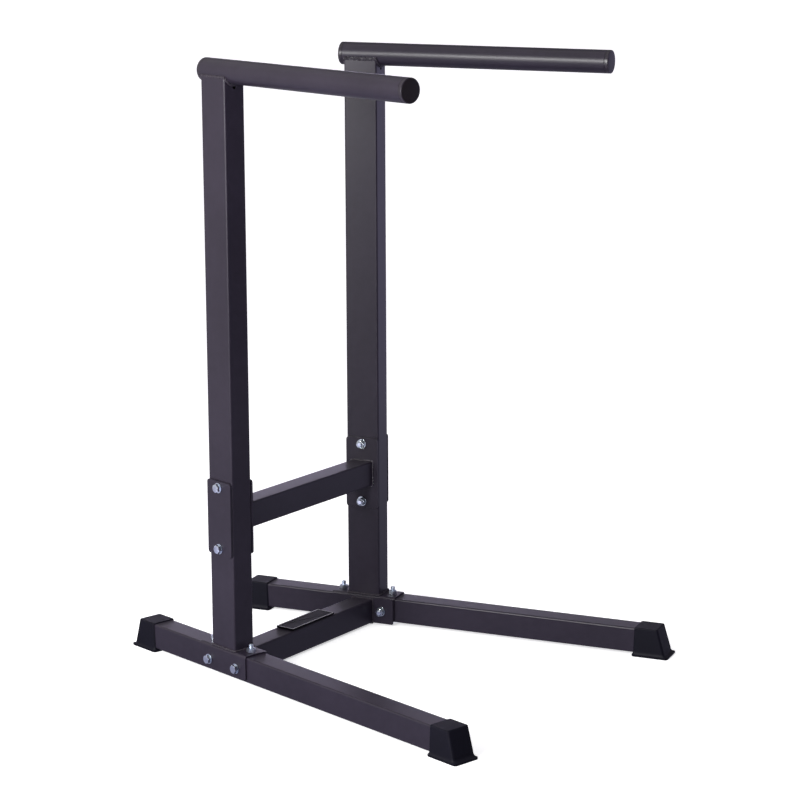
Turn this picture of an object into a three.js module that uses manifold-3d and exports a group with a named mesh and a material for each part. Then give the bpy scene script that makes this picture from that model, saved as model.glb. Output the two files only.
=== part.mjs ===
// Dip station: two posts with handle bars, each bolted over its own base rail, joined by two cross tubes.
// Millimetres, +Z up, the open front towards -Y. The origin is on the floor, at the centre of the footprint.
// Each half is drawn in its own frame, with the post's axis at its origin, and turned out by the splay.
import * as THREE from "three";
import { mergeVertices } from "three/addons/utils/BufferGeometryUtils.js";
import Module from "manifold-3d";

// The whole stand
const splay = THREE.MathUtils.degToRad(12.3);
const postSpacing = 380;
const handleHeight = 1000;
const railLift = 6;

// Fits
const seatGap = 0.3;
const cutOverrun = 5;
const boltHoleGap = 0.5;
const threadGap = 0.3;

// Base rails
const railWidth = 40;
const railHeight = 43;
const railWall = 2;
const railCorner = 3;
const railFront = 537;
const railRear = 224;

// Posts
const postWidth = 40;
const postDepth = 60;
const postWall = 2;
const postCorner = 3;
const copeDrop = 8;
const ventHole = 6;
const ventDrop = 23.5;

// Handle bars
const handleDiameter = 38.5;
const handleWall = 2;
const handleFront = 433.5;
const handleRear = 34.7;

// Handle caps
const capHead = 7;
const capHeadRound = 1.4;
const capDome = 0.6;
const plugLength = 18;
const plugWall = 2.2;
const plugRib = 1.2;
const plugRibWidth = 1.6;
const plugRibPitch = 6;
const plugRibs = 2;

// Foot caps
const footWall = 1.5;
const footEndWall = 5;
const footSleeve = 36;
const footEndSlope = 12;
const footSideDraft = 0.8;
const footMouthDraft = 1.5;
const footEndLip = 7.5;
const footSideLip = 2.6;
const footMouthLip = 2;
const footLipHeight = 10;
const footRimHeight = 3.6;
const footRimRound = 1.2;
const footCorner = 3.6;
const footLipCorner = 5.5;
const footTopRound = 1.8;

// Saddle brackets, and the bolts that go through their flanges and their tops
const saddleOverhang = 30;
const saddleThickness = 2.5;
const saddleFlange = 42;
const saddleBend = 2.4;
const saddleCorner = 4;
const sideBoltInset = 24.5;
const sideBoltDrop = 2;
const topBoltInset = 12.5;

// Upper cross tube and the plates that clamp it to the posts
const crossWidth = 40;
const crossHeight = 43;
const crossWall = 2;
const crossCorner = 3;
const upperCrossLevel = 274;
const clampHeight = 125;
const clampThickness = 3.5;
const clampCorner = 5;
const clampBoltInset = 11;

// Lower cross tube and its end plates
const lowerCrossLift = 3;
const lowerPlateInset = 1.5;
const lowerPlateThickness = 3.5;
const lowerPlateCorner = 2.5;

// Badge plate
const badgeLength = 117;
const badgeWidth = 37;
const badgeThickness = 3.5;
const badgeCorner = 2.5;
const badgeBevel = 0.8;
const badgeBorder = 1.4;
const badgeRecess = 0.4;

// M8 fasteners
const boltDiameter = 8;
const boltChamfer = 1;
const boltEnd = 3;
const topBoltEnd = 7;
const hexAcrossFlats = 13;
const hexChamfer = 0.9;
const headHeight = 5.3;
const nutHeight = 6.5;
const nutFlange = 17;
const nutFlangeHeight = 1.6;
const washerDiameter = 17;
const washerThickness = 1.6;
const domeDiameter = 19;
const domeHeight = 4.5;
const domeRim = 1;
const neckHeight = 3;

// Steps on round forms
const cornerSteps = 2;
const holeSteps = 6;
const boltSteps = 6;
const washerSteps = 8;
const handleSteps = 16;
const capRoundSteps = 2;
const footCornerSteps = 4;
const flareSteps = 3;
const domeSteps = 3;
const mergeDistance = 1e-4;

// Places that follow from the sizes above
const railTop = railLift + railHeight;
const saddleSeat = railTop + seatGap;
const saddleTop = saddleSeat + saddleThickness;
const saddleLength = postDepth + 2 * saddleOverhang;
const saddleInner = railWidth / 2 + seatGap;
const saddleOuter = saddleInner + saddleThickness;
const sideBoltPitch = saddleLength - 2 * sideBoltInset;
const sideBoltLevel = railLift + railHeight / 2 - sideBoltDrop;
const topBoltPitch = saddleLength - 2 * topBoltInset;
const clampBoltPitch = clampHeight - 2 * clampBoltInset;
const clampInner = postWidth / 2 + seatGap;
const clampOuter = clampInner + clampThickness;
const lowerPlateLength = saddleLength - 2 * lowerPlateInset;
const lowerPlateHeight = saddleSeat - lowerCrossLift;
const lowerPlateInner = saddleOuter + seatGap;
const lowerPlateOuter = lowerPlateInner + lowerPlateThickness;
const lowerCrossLevel = lowerCrossLift + crossHeight / 2;
const footReach = seatGap + footEndWall + footEndSlope + footEndLip;
const postLine = ((railFront - railRear) / 2) * Math.cos(splay);
const boltHole = boltDiameter / 2 + boltHoleGap;
const headStack = seatGap + washerThickness + seatGap;

const powderCoat = new THREE.MeshStandardMaterial({ color: 0x3a373f, roughness: 0.55, metalness: 0.35 });
const footPlastic = new THREE.MeshStandardMaterial({ color: 0x26242b, roughness: 0.6, metalness: 0 });
const capPlastic = new THREE.MeshStandardMaterial({ color: 0x1f1d22, roughness: 0.5, metalness: 0 });
const badgeFinish = new THREE.MeshStandardMaterial({ color: 0x1c1a20, roughness: 0.4, metalness: 0.1 });
const zinc = new THREE.MeshStandardMaterial({ color: 0xc4c8ce, roughness: 0.3, metalness: 0.9 });

const manifold = await Module();
manifold.setup();

const axisX = new THREE.Vector3(1, 0, 0);
const axisY = new THREE.Vector3(0, 1, 0);
const axisZ = new THREE.Vector3(0, 0, 1);

// A profile carried along x is drawn in y and z, one along y in z and x, and one along z in x and y.
const directions = {
  x: new THREE.Matrix4().makeBasis(axisY, axisZ, axisX),
  y: new THREE.Matrix4().makeBasis(axisZ, axisX, axisY),
  z: new THREE.Matrix4().makeBasis(axisX, axisY, axisZ),
};

// Turns a closed geometry into a solid that can be cut and joined.
function toSolid(geometry) {
  const bare = geometry.clone();
  bare.deleteAttribute("normal");
  bare.deleteAttribute("uv");
  const merged = mergeVertices(bare, mergeDistance);
  const vertProperties = merged.attributes.position.array;
  const triVerts = new Uint32Array(merged.index.array);
  return new manifold.Manifold(new manifold.Mesh({ numProp: 3, vertProperties, triVerts }));
}

// Turns a solid back into a geometry with flat-shaded faces.
function toGeometry(solid) {
  const found = solid.getMesh();
  const indexed = new THREE.BufferGeometry();
  indexed.setAttribute("position", new THREE.BufferAttribute(found.vertProperties, 3));
  indexed.setIndex(new THREE.BufferAttribute(found.triVerts, 1));
  const geometry = indexed.toNonIndexed();
  geometry.computeVertexNormals();
  return geometry;
}

function cut(solid, ...tools) {
  return tools.reduce((rest, tool) => rest.subtract(tool), solid);
}

// Carries a profile along an axis from start to end.
function extrude(profile, axis, start, end, curveSegments = cornerSteps) {
  const depth = end - start;
  const geometry = new THREE.ExtrudeGeometry(profile, { depth, bevelEnabled: false, curveSegments });
  geometry.translate(0, 0, start);
  geometry.applyMatrix4(directions[axis]);
  return toSolid(geometry);
}

function rectangle(width, height, radius) {
  const x = width / 2 - radius;
  const y = height / 2 - radius;
  const shape = new THREE.Shape();
  shape.absarc(x, y, radius, 0, Math.PI / 2);
  shape.absarc(-x, y, radius, Math.PI / 2, Math.PI);
  shape.absarc(-x, -y, radius, Math.PI, Math.PI * 1.5);
  shape.absarc(x, -y, radius, Math.PI * 1.5, Math.PI * 2);
  shape.closePath();
  return shape;
}

function circle(radius) {
  const shape = new THREE.Shape();
  shape.absarc(0, 0, radius, 0, Math.PI * 2);
  return shape;
}

function hexagon(acrossFlats) {
  const shape = new THREE.Shape();
  const radius = acrossFlats / 2 / Math.cos(Math.PI / 6);
  for (let corner = 0; corner < 6; corner++) {
    const angle = (corner * Math.PI) / 3;
    shape.lineTo(radius * Math.cos(angle), radius * Math.sin(angle));
  }
  return shape;
}

// The section of a rectangular tube: rounded outside, with its wall following the corners.
function tubeSection(width, height, wall, radius) {
  const section = rectangle(width, height, radius);
  section.holes.push(rectangle(width - 2 * wall, height - 2 * wall, Math.max(radius - wall, wall / 2)));
  return section;
}

// A round hole or bar along an axis, from start to end.
function round(radius, axis, start, end, steps = holeSteps) {
  return extrude(circle(radius), axis, start, end, steps);
}

// A square bar or hole along z, from start to end.
function squareBar(size, start, end) {
  const geometry = new THREE.BoxGeometry(size, size, end - start);
  geometry.translate(0, 0, (start + end) / 2);
  return toSolid(geometry);
}

// Turns a closed outline, given as pairs of radius and height, about z.
function turn(outline, segments) {
  const points = outline.map(([radius, height]) => new THREE.Vector2(radius, height));
  const geometry = new THREE.LatheGeometry(points, segments);
  geometry.rotateX(Math.PI / 2);
  return toSolid(geometry);
}

// The same cut fore and aft of the post, that far apart along the rail.
function foreAndAft(pitch, tool) {
  return [-1, 1].map((end) => tool.translate(0, (end * pitch) / 2, 0));
}

// Base rail, with round holes for the side bolts and, under each top bolt's hole, a square one for its neck
function baseRail() {
  const centre = railLift + railHeight / 2;
  const section = tubeSection(railHeight, railWidth, railWall, railCorner);
  const tube = extrude(section, "y", -railFront, railRear).translate(0, 0, centre);
  const across = railWidth / 2 + cutOverrun;
  return cut(
    tube,
    ...foreAndAft(sideBoltPitch, round(boltHole, "x", -across, across).translate(0, 0, sideBoltLevel)),
    ...foreAndAft(topBoltPitch, round(boltHole, "z", centre, railTop + cutOverrun)),
    ...foreAndAft(topBoltPitch, squareBar(2 * boltHole, railLift - cutOverrun, centre)),
  );
}

// Post, with its clamp bolt holes, its vent hole and the cope that takes the handle bar
function post() {
  const section = tubeSection(postWidth, postDepth, postWall, postCorner);
  const tube = extrude(section, "z", saddleTop + seatGap, handleHeight - copeDrop);
  const along = postDepth / 2 + cutOverrun;
  const across = postWidth / 2 + cutOverrun;
  const cope = round(handleDiameter / 2 + seatGap, "y", -along, along, handleSteps);
  const vent = round(ventHole / 2, "y", -along, 0).translate(0, 0, handleHeight - ventDrop);
  const bolts = [-1, 1].map((end) =>
    round(boltHole, "x", -across, across).translate(0, 0, upperCrossLevel + (end * clampBoltPitch) / 2),
  );
  return cut(tube, cope.translate(0, 0, handleHeight), vent, ...bolts);
}

// Handle bar, along y with its axis at the origin
function handleBar() {
  const section = circle(handleDiameter / 2);
  section.holes.push(circle(handleDiameter / 2 - handleWall));
  return extrude(section, "y", -handleFront, handleRear, handleSteps);
}

// Handle cap: a domed head as wide as the bar, and a ribbed plug that goes into it. The bar ends at z = 0,
// and the head looks to +z.
function handleCap() {
  const outer = handleDiameter / 2;
  const plug = outer - handleWall - seatGap;
  const core = plug - plugRib;
  const shoulder = seatGap + capHead - capDome - capHeadRound;
  const outline = [
    [0, seatGap],
    [core - plugWall, seatGap],
    [core - plugWall, -plugLength],
    [core, -plugLength],
  ];
  for (let rib = plugRibs; rib > 0; rib--) {
    const height = -rib * plugRibPitch;
    outline.push([core, height - plugRibWidth], [plug, height], [core, height]);
  }
  outline.push([core, seatGap], [outer, seatGap]);
  for (let step = 0; step <= capRoundSteps; step++) {
    const angle = ((step / capRoundSteps) * Math.PI) / 2;
    const inset = capHeadRound * (1 - Math.cos(angle));
    outline.push([outer - inset, shoulder + capHeadRound * Math.sin(angle)]);
  }
  outline.push([0, seatGap + capHead]);
  return turn(outline, 2 * handleSteps);
}

// A rounded rectangle in plan at height z, from y = -mouth to y = end.
function footOutline(z, mouth, end, half, radius) {
  const corners = [
    [half, end],
    [-half, end],
    [-half, -mouth],
    [half, -mouth],
  ];
  const points = [];
  corners.forEach(([x, y], quarter) => {
    const centreX = x - Math.sign(x) * radius;
    const centreY = y - Math.sign(y) * radius;
    for (let step = 0; step <= footCornerSteps; step++) {
      const angle = ((quarter + step / footCornerSteps) * Math.PI) / 2;
      const point = new THREE.Vector3(Math.cos(angle), Math.sin(angle), 0).multiplyScalar(radius);
      points.push(point.add(new THREE.Vector3(centreX, centreY, z)));
    }
  });
  return points;
}

// Skins a stack of convex levels, lowest first, and closes both ends.
function loft(levels) {
  const count = levels[0].length;
  const index = [];
  for (let level = 0; level + 1 < levels.length; level++) {
    for (let point = 0; point < count; point++) {
      const a = level * count + point;
      const b = level * count + ((point + 1) % count);
      index.push(a, b, b + count, a, b + count, a + count);
    }
  }
  const top = (levels.length - 1) * count;
  for (let point = 1; point + 1 < count; point++) {
    index.push(0, point + 1, point, top, top + point, top + point + 1);
  }
  const geometry = new THREE.BufferGeometry().setFromPoints(levels.flat());
  geometry.setIndex(index);
  return toSolid(geometry);
}

// Foot cap: a sleeve over the rail's end with a sloped end and a flared rim, on a thick sole. The rail ends
// at y = 0, and the slope looks to +y.
function footCap() {
  const top = railTop + seatGap + footWall;
  const half = railWidth / 2 + seatGap + footWall;
  const end = seatGap + footEndWall;

  // The draft runs from 0 at the top to 1 at the lip, and the flare from 0 at the lip to 1 at its rim.
  const level = (z, draft, flare, inset = 0) =>
    footOutline(
      z,
      footSleeve + footMouthDraft * draft + footMouthLip * flare,
      end + footEndSlope * draft + footEndLip * flare - inset,
      half + footSideDraft * draft + footSideLip * flare - inset,
      THREE.MathUtils.lerp(footCorner, footLipCorner, flare),
    );

  const levels = [level(0, 1, 1, footRimRound), level(footRimRound, 1, 1)];
  for (let step = 0; step <= flareSteps; step++) {
    const angle = ((step / flareSteps) * Math.PI) / 2;
    const z = THREE.MathUtils.lerp(footLipHeight, footRimHeight, Math.cos(angle));
    levels.push(level(z, 1, 1 - Math.sin(angle)));
  }
  levels.push(level(top - footTopRound, footTopRound / (top - footLipHeight), 0));
  for (const angle of [Math.PI / 4, Math.PI / 2]) {
    const z = top - footTopRound * (1 - Math.sin(angle));
    levels.push(level(z, 0, 0, footTopRound * (1 - Math.cos(angle))));
  }

  const section = rectangle(railHeight + 2 * seatGap, railWidth + 2 * seatGap, railCorner + seatGap);
  const reach = footSleeve + footMouthDraft + footMouthLip + cutOverrun;
  const cavity = extrude(section, "y", -reach, seatGap).translate(0, 0, railLift + railHeight / 2);
  return cut(loft(levels), cavity);
}

// Saddle bracket: a folded channel over the rail, with rounded corners on its flanges
function saddleBracket() {
  const outerBend = saddleBend + saddleThickness;
  const foot = saddleTop - saddleFlange;
  const section = new THREE.Shape();
  section.moveTo(foot, saddleInner);
  section.absarc(saddleSeat - saddleBend, saddleInner - saddleBend, saddleBend, Math.PI / 2, 0, true);
  section.absarc(saddleSeat - saddleBend, saddleBend - saddleInner, saddleBend, 0, -Math.PI / 2, true);
  section.lineTo(foot, -saddleInner);
  section.lineTo(foot, -saddleOuter);
  section.absarc(saddleTop - outerBend, outerBend - saddleOuter, outerBend, -Math.PI / 2, 0);
  section.absarc(saddleTop - outerBend, saddleOuter - outerBend, outerBend, 0, Math.PI / 2);
  section.lineTo(foot, saddleOuter);
  section.closePath();
  const channel = extrude(section, "y", -saddleLength / 2, saddleLength / 2);
  const across = saddleOuter + cutOverrun;
  const reach = saddleFlange + cutOverrun;
  const outline = rectangle(saddleLength, saddleFlange + reach, saddleCorner);
  const trim = extrude(outline, "x", -across, across).translate(0, 0, foot + (saddleFlange + reach) / 2);
  return cut(
    channel.intersect(trim),
    ...foreAndAft(sideBoltPitch, round(boltHole, "x", -across, across).translate(0, 0, sideBoltLevel)),
    ...foreAndAft(topBoltPitch, round(boltHole, "z", saddleSeat - cutOverrun, saddleTop + cutOverrun)),
  );
}

// A flat plate from x = 0 to its thickness, centred in y and z, with bolt holes at the given places.
function boltedPlate(length, height, thickness, corner, holes) {
  const plate = extrude(rectangle(length, height, corner), "x", 0, thickness);
  const bores = holes.map(([y, z]) =>
    round(boltHole, "x", -cutOverrun, thickness + cutOverrun).translate(0, y, z),
  );
  return cut(plate, ...bores);
}

// Plate on the side of a post: the outer one alone, the inner one at the end of the upper cross tube
function clampPlate() {
  const holes = [-1, 1].map((end) => [0, (end * clampBoltPitch) / 2]);
  return boltedPlate(postDepth, clampHeight, clampThickness, clampCorner, holes);
}

// Plate at the end of the lower cross tube
function lowerEndPlate() {
  const level = sideBoltLevel - lowerCrossLift - lowerPlateHeight / 2;
  const holes = [-1, 1].map((end) => [(end * sideBoltPitch) / 2, level]);
  return boltedPlate(lowerPlateLength, lowerPlateHeight, lowerPlateThickness, lowerPlateCorner, holes);
}

// The frame of one half, as a matrix
function halfMatrix(sign) {
  const matrix = new THREE.Matrix4().makeRotationZ(sign * splay);
  return matrix.setPosition((sign * postSpacing) / 2, postLine, 0);
}

// Cross tube between the two halves, mitred to lie against plates whose inner faces are that far from the
// posts' axes. Its own axis meets the plates half way along them.
function crossTube(face, level) {
  const section = tubeSection(crossWidth, crossHeight, crossWall, crossCorner);
  const reach = postSpacing / 2;
  const tube = extrude(section, "x", -reach, reach).translate(0, postLine - face * Math.sin(splay), level);
  const trims = [-1, 1].map((sign) => {
    const block = new THREE.BoxGeometry(postSpacing, postSpacing, postSpacing);
    block.translate(sign * (postSpacing / 2 - face - seatGap), 0, level);
    block.applyMatrix4(halfMatrix(sign));
    return toSolid(block);
  });
  return cut(tube, ...trims);
}

// Badge plate: a bevelled plate with a sunk field inside a narrow border, on z = 0
function badgePlate() {
  const length = badgeLength - 2 * badgeBevel;
  const width = badgeWidth - 2 * badgeBevel;
  const geometry = new THREE.ExtrudeGeometry(rectangle(length, width, badgeCorner - badgeBevel), {
    depth: badgeThickness - 2 * badgeBevel,
    bevelThickness: badgeBevel,
    bevelSize: badgeBevel,
    bevelSegments: 1,
    curveSegments: cornerSteps,
  });
  geometry.translate(0, 0, badgeBevel);
  const inset = badgeBorder + badgeBevel;
  const field = rectangle(badgeLength - 2 * inset, badgeWidth - 2 * inset, badgeCorner / 2);
  const recess = extrude(field, "z", badgeThickness - badgeRecess, badgeThickness + cutOverrun);
  return cut(toSolid(geometry), recess);
}

// A hexagonal bar on z = 0 whose upper corners are turned down, as on bolt heads and nuts
function chamferedHex(height) {
  const flats = hexAcrossFlats / 2;
  const corners = flats / Math.cos(Math.PI / 6);
  const form = turn(
    [
      [0, 0],
      [corners + cutOverrun, 0],
      [corners + cutOverrun, height - hexChamfer / 2 - cutOverrun * Math.tan(Math.PI / 6)],
      [flats - hexChamfer / 2, height],
      [0, height],
    ],
    2 * boltSteps,
  );
  return extrude(hexagon(hexAcrossFlats), "z", 0, height).intersect(form);
}

// The shank of a bolt: down from z = overlap to its chamfered end at z = -length
function shank(length, overlap) {
  const radius = boltDiameter / 2;
  return turn(
    [
      [0, -length],
      [radius - boltChamfer, -length],
      [radius, boltChamfer - length],
      [radius, overlap],
      [0, overlap],
    ],
    2 * boltSteps,
  );
}

// Hexagon-head bolt, seated at z = 0 with its head above
function hexBolt(length) {
  return chamferedHex(headHeight).add(shank(length, headHeight / 2));
}

// Carriage bolt, seated at z = 0 with its domed head above and a square neck below
function carriageBolt(length) {
  const outline = [
    [0, 0],
    [domeDiameter / 2, 0],
  ];
  for (let step = 0; step <= domeSteps; step++) {
    const angle = ((step / domeSteps) * Math.PI) / 2;
    const height = domeRim + (domeHeight - domeRim) * Math.sin(angle);
    outline.push([(domeDiameter / 2) * Math.cos(angle), height]);
  }
  const neck = squareBar(boltDiameter, -neckHeight, domeRim);
  return turn(outline, 2 * boltSteps).add(neck).add(shank(length, domeRim));
}

// Flange nut, seated on z = 0
function flangeNut() {
  const flange = turn(
    [
      [0, 0],
      [nutFlange / 2, 0],
      [nutFlange / 2, nutFlangeHeight / 2],
      [hexAcrossFlats / 2, nutFlangeHeight],
      [0, nutFlangeHeight],
    ],
    2 * boltSteps,
  );
  const height = nutFlangeHeight + nutHeight;
  const bore = round(boltDiameter / 2 + threadGap, "z", -cutOverrun, height + cutOverrun, boltSteps);
  return cut(chamferedHex(height).add(flange), bore);
}

// Plain nut, seated on z = 0
function plainNut() {
  const bore = round(boltDiameter / 2 + threadGap, "z", -cutOverrun, nutHeight + cutOverrun, boltSteps);
  return cut(chamferedHex(nutHeight), bore);
}

function washer() {
  const section = circle(washerDiameter / 2);
  section.holes.push(circle(boltDiameter / 2 + threadGap));
  return extrude(section, "z", 0, washerThickness, washerSteps);
}

const stand = new THREE.Group();

// Adds a named piece to a group, placed and turned.
function place(group, name, geometry, material, position = [0, 0, 0], rotation = [0, 0, 0]) {
  const mesh = new THREE.Mesh(geometry, material);
  mesh.name = name;
  mesh.position.set(...position);
  mesh.rotation.set(...rotation);
  group.add(mesh);
}

// How far each bolt passes through, from under its head to the far end of its nut
const nutStack = seatGap + nutFlangeHeight + nutHeight;
const clampSpan = headStack + 2 * clampOuter + nutStack;
const sideSpan = headStack + saddleOuter + lowerPlateOuter + nutStack;
const topSpan = seatGap + saddleTop - railLift + seatGap + nutHeight;

const forms = {
  baseRail: toGeometry(baseRail()),
  post: toGeometry(post()),
  handleBar: toGeometry(handleBar()),
  handleCap: toGeometry(handleCap()),
  footCap: toGeometry(footCap()),
  saddleBracket: toGeometry(saddleBracket()),
  clampPlate: toGeometry(clampPlate()),
  lowerEndPlate: toGeometry(lowerEndPlate()),
  clampBolt: toGeometry(hexBolt(clampSpan + boltEnd)),
  sideBolt: toGeometry(hexBolt(sideSpan + boltEnd)),
  topBolt: toGeometry(carriageBolt(topSpan + topBoltEnd)),
  flangeNut: toGeometry(flangeNut()),
  plainNut: toGeometry(plainNut()),
  washer: toGeometry(washer()),
};

// A bolt along x at (y, z), with its head and washer on the outward side and its nut on the inward side. The
// last two distances are from the post's axis to the faces that the washer and the nut lie on.
function boltAcross(group, name, form, outward, y, z, washerFace, nutFace) {
  const outTurn = [0, (outward * Math.PI) / 2, 0];
  const inTurn = [0, (-outward * Math.PI) / 2, 0];
  const at = (distance) => [outward * distance, y, z];
  place(group, `${name}_bolt`, form, zinc, at(washerFace + headStack), outTurn);
  place(group, `${name}_washer`, forms.washer, zinc, at(washerFace + seatGap), outTurn);
  place(group, `${name}_nut`, forms.flangeNut, zinc, at(-nutFace - seatGap), inTurn);
}

// A plate on one side of the post, that far from its axis, with its thickness pointing away from it.
function placePlate(group, name, form, direction, distance, level) {
  const turnRound = direction > 0 ? 0 : Math.PI;
  place(group, name, form, powderCoat, [direction * distance, 0, level], [0, 0, turnRound]);
}

// One half of the stand, whose outward side is that sign of x.
function half(side, outward) {
  const group = new THREE.Group();
  group.applyMatrix4(halfMatrix(outward));

  place(group, `base_rail_${side}`, forms.baseRail, powderCoat);
  place(group, `foot_cap_${side}_rear`, forms.footCap, footPlastic, [0, railRear, 0]);
  place(group, `foot_cap_${side}_front`, forms.footCap, footPlastic, [0, -railFront, 0], [0, 0, Math.PI]);
  place(group, `saddle_bracket_${side}`, forms.saddleBracket, powderCoat);
  place(group, `post_${side}`, forms.post, powderCoat);

  const rearEnd = [0, handleRear, handleHeight];
  const frontEnd = [0, -handleFront, handleHeight];
  place(group, `handle_bar_${side}`, forms.handleBar, powderCoat, [0, 0, handleHeight]);
  place(group, `handle_cap_${side}_rear`, forms.handleCap, capPlastic, rearEnd, [-Math.PI / 2, 0, 0]);
  place(group, `handle_cap_${side}_front`, forms.handleCap, capPlastic, frontEnd, [Math.PI / 2, 0, 0]);

  const lowerPlateLevel = lowerCrossLift + lowerPlateHeight / 2;
  placePlate(group, `clamp_plate_${side}`, forms.clampPlate, outward, clampInner, upperCrossLevel);
  placePlate(group, `upper_end_plate_${side}`, forms.clampPlate, -outward, clampInner, upperCrossLevel);
  const lowerPlate = `lower_end_plate_${side}`;
  placePlate(group, lowerPlate, forms.lowerEndPlate, -outward, lowerPlateInner, lowerPlateLevel);

  for (const [end, sign] of [["lower", -1], ["upper", 1]]) {
    const z = upperCrossLevel + (sign * clampBoltPitch) / 2;
    const name = `clamp_${side}_${end}`;
    boltAcross(group, name, forms.clampBolt, outward, 0, z, clampOuter, clampOuter);
  }
  for (const [end, sign] of [["front", -1], ["rear", 1]]) {
    const name = `side_${side}_${end}`;
    const y = (sign * sideBoltPitch) / 2;
    boltAcross(group, name, forms.sideBolt, outward, y, sideBoltLevel, saddleOuter, lowerPlateOuter);

    const topY = (sign * topBoltPitch) / 2;
    const below = [0, topY, railLift - seatGap];
    const above = [0, topY, saddleTop + seatGap];
    place(group, `top_${side}_${end}_bolt`, forms.topBolt, zinc, below, [Math.PI, 0, 0]);
    place(group, `top_${side}_${end}_nut`, forms.plainNut, zinc, above);
  }
  return group;
}

const badgeLine = postLine - lowerPlateOuter * Math.sin(splay);
const badgeSeat = lowerCrossLift + crossHeight + seatGap;

stand.add(half("left", -1), half("right", 1));
place(stand, "upper_cross_tube", toGeometry(crossTube(clampOuter, upperCrossLevel)), powderCoat);
place(stand, "lower_cross_tube", toGeometry(crossTube(lowerPlateOuter, lowerCrossLevel)), powderCoat);
place(stand, "badge_plate", toGeometry(badgePlate()), badgeFinish, [0, badgeLine, badgeSeat]);

export default stand;
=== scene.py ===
"""A free-standing dip station: its fine pieces, finishes, floor, light and camera, in metres, +Z up."""
import logging
import math
from dataclasses import dataclass
from enum import Enum

import bmesh
import bpy
from mathutils import Matrix, Vector, noise


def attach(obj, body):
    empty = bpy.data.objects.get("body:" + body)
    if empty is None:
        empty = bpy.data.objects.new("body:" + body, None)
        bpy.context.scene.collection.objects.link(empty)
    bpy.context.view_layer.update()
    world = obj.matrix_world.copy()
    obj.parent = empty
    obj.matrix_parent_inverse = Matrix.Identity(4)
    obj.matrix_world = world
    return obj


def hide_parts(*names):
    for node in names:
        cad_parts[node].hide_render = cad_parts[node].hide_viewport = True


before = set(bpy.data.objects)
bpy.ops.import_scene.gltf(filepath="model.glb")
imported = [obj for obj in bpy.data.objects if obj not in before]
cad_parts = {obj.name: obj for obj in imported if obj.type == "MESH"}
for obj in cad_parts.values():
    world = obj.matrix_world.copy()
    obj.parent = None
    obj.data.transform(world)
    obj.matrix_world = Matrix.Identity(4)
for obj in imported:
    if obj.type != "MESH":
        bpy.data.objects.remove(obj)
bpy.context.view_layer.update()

log = logging.getLogger("dip_station")

MM = 0.001
TOUCH = 1e-6
NEAR = 1e-5
CREASE = 32.0
BEAD_CREASE = 70.0
BEAD_SEED = 7
ROOT = "root"
Colour = tuple[float, float, float]
Span = tuple[float, float]


class Pair(Enum):
    """A pair of places, each with the sign of the axis that it lies on."""

    @property
    def label(self) -> str:
        """The place's name as the nodes spell it."""
        return self.name.lower()

    def vary(self, middle: float, swing: float) -> float:
        """A value that swings about a middle from the first place to the second."""
        return middle + swing * self.value


class Side(Pair):
    """The two halves of the stand, along x."""

    LEFT = -1
    RIGHT = 1


class End(Pair):
    """The two ends of a rail or a handle bar, along y."""

    FRONT = -1
    REAR = 1


class Tier(Pair):
    """The two bolts of a clamp, along z."""

    LOWER = -1
    UPPER = 1


class Slot(Enum):
    """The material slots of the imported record."""

    POWDER_COAT = "powder_coat"
    FOOT_PLASTIC = "foot_plastic"
    CAP_PLASTIC = "cap_plastic"
    BADGE = "badge"
    ZINC = "zinc"


# Layout of the stand


@dataclass(frozen=True)
class Layout:
    """Sizes that several sub-assemblies share."""

    splay: float = math.radians(12.3)
    post_spacing: float = 380 * MM
    rail_front: float = 537 * MM
    rail_rear: float = 224 * MM
    rail_lift: float = 6 * MM
    rail_width: float = 40 * MM
    rail_height: float = 43 * MM
    handle_height: float = 1000 * MM
    handle_diameter: float = 38.5 * MM
    cope_drop: float = 8 * MM
    post_width: float = 40 * MM
    post_depth: float = 60 * MM
    seat_gap: float = 0.3 * MM
    saddle_thickness: float = 2.5 * MM
    plate_thickness: float = 3.5 * MM
    cross_lift: float = 3 * MM
    cross_height: float = 43 * MM
    upper_cross_level: float = 274 * MM
    clamp_bolt_pitch: float = 103 * MM
    side_bolt_pitch: float = 71 * MM
    side_bolt_level: float = 25.5 * MM
    top_bolt_pitch: float = 95 * MM
    bolt_hole: float = 4.5 * MM

    @property
    def post_line(self) -> float:
        """The y of both posts' axes."""
        return (self.rail_front - self.rail_rear) / 2 * math.cos(self.splay)

    @property
    def rail_top(self) -> float:
        """The height of the rails' upper faces."""
        return self.rail_lift + self.rail_height

    @property
    def saddle_top(self) -> float:
        """The height of the saddles' upper faces."""
        return self.rail_top + self.seat_gap + self.saddle_thickness

    @property
    def saddle_outer(self) -> float:
        """How far a saddle's flange reaches from the post's axis."""
        return self.rail_width / 2 + self.seat_gap + self.saddle_thickness

    @property
    def clamp_outer(self) -> float:
        """How far a clamp plate's far face lies from the post's axis."""
        return self.post_width / 2 + self.seat_gap + self.plate_thickness

    @property
    def lower_plate_outer(self) -> float:
        """How far a lower end plate's far face lies from the post's axis."""
        return self.saddle_outer + self.seat_gap + self.plate_thickness

    def half(self, side: Side) -> Matrix:
        """The matrix from one half's own frame, which has the post's axis at its origin, to the stand's."""
        place = Matrix.Translation((side.value * self.post_spacing / 2, self.post_line, 0))
        return place @ Matrix.Rotation(side.value * self.splay, 4, "Z")


LAYOUT = Layout()


# Shader trees


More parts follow.
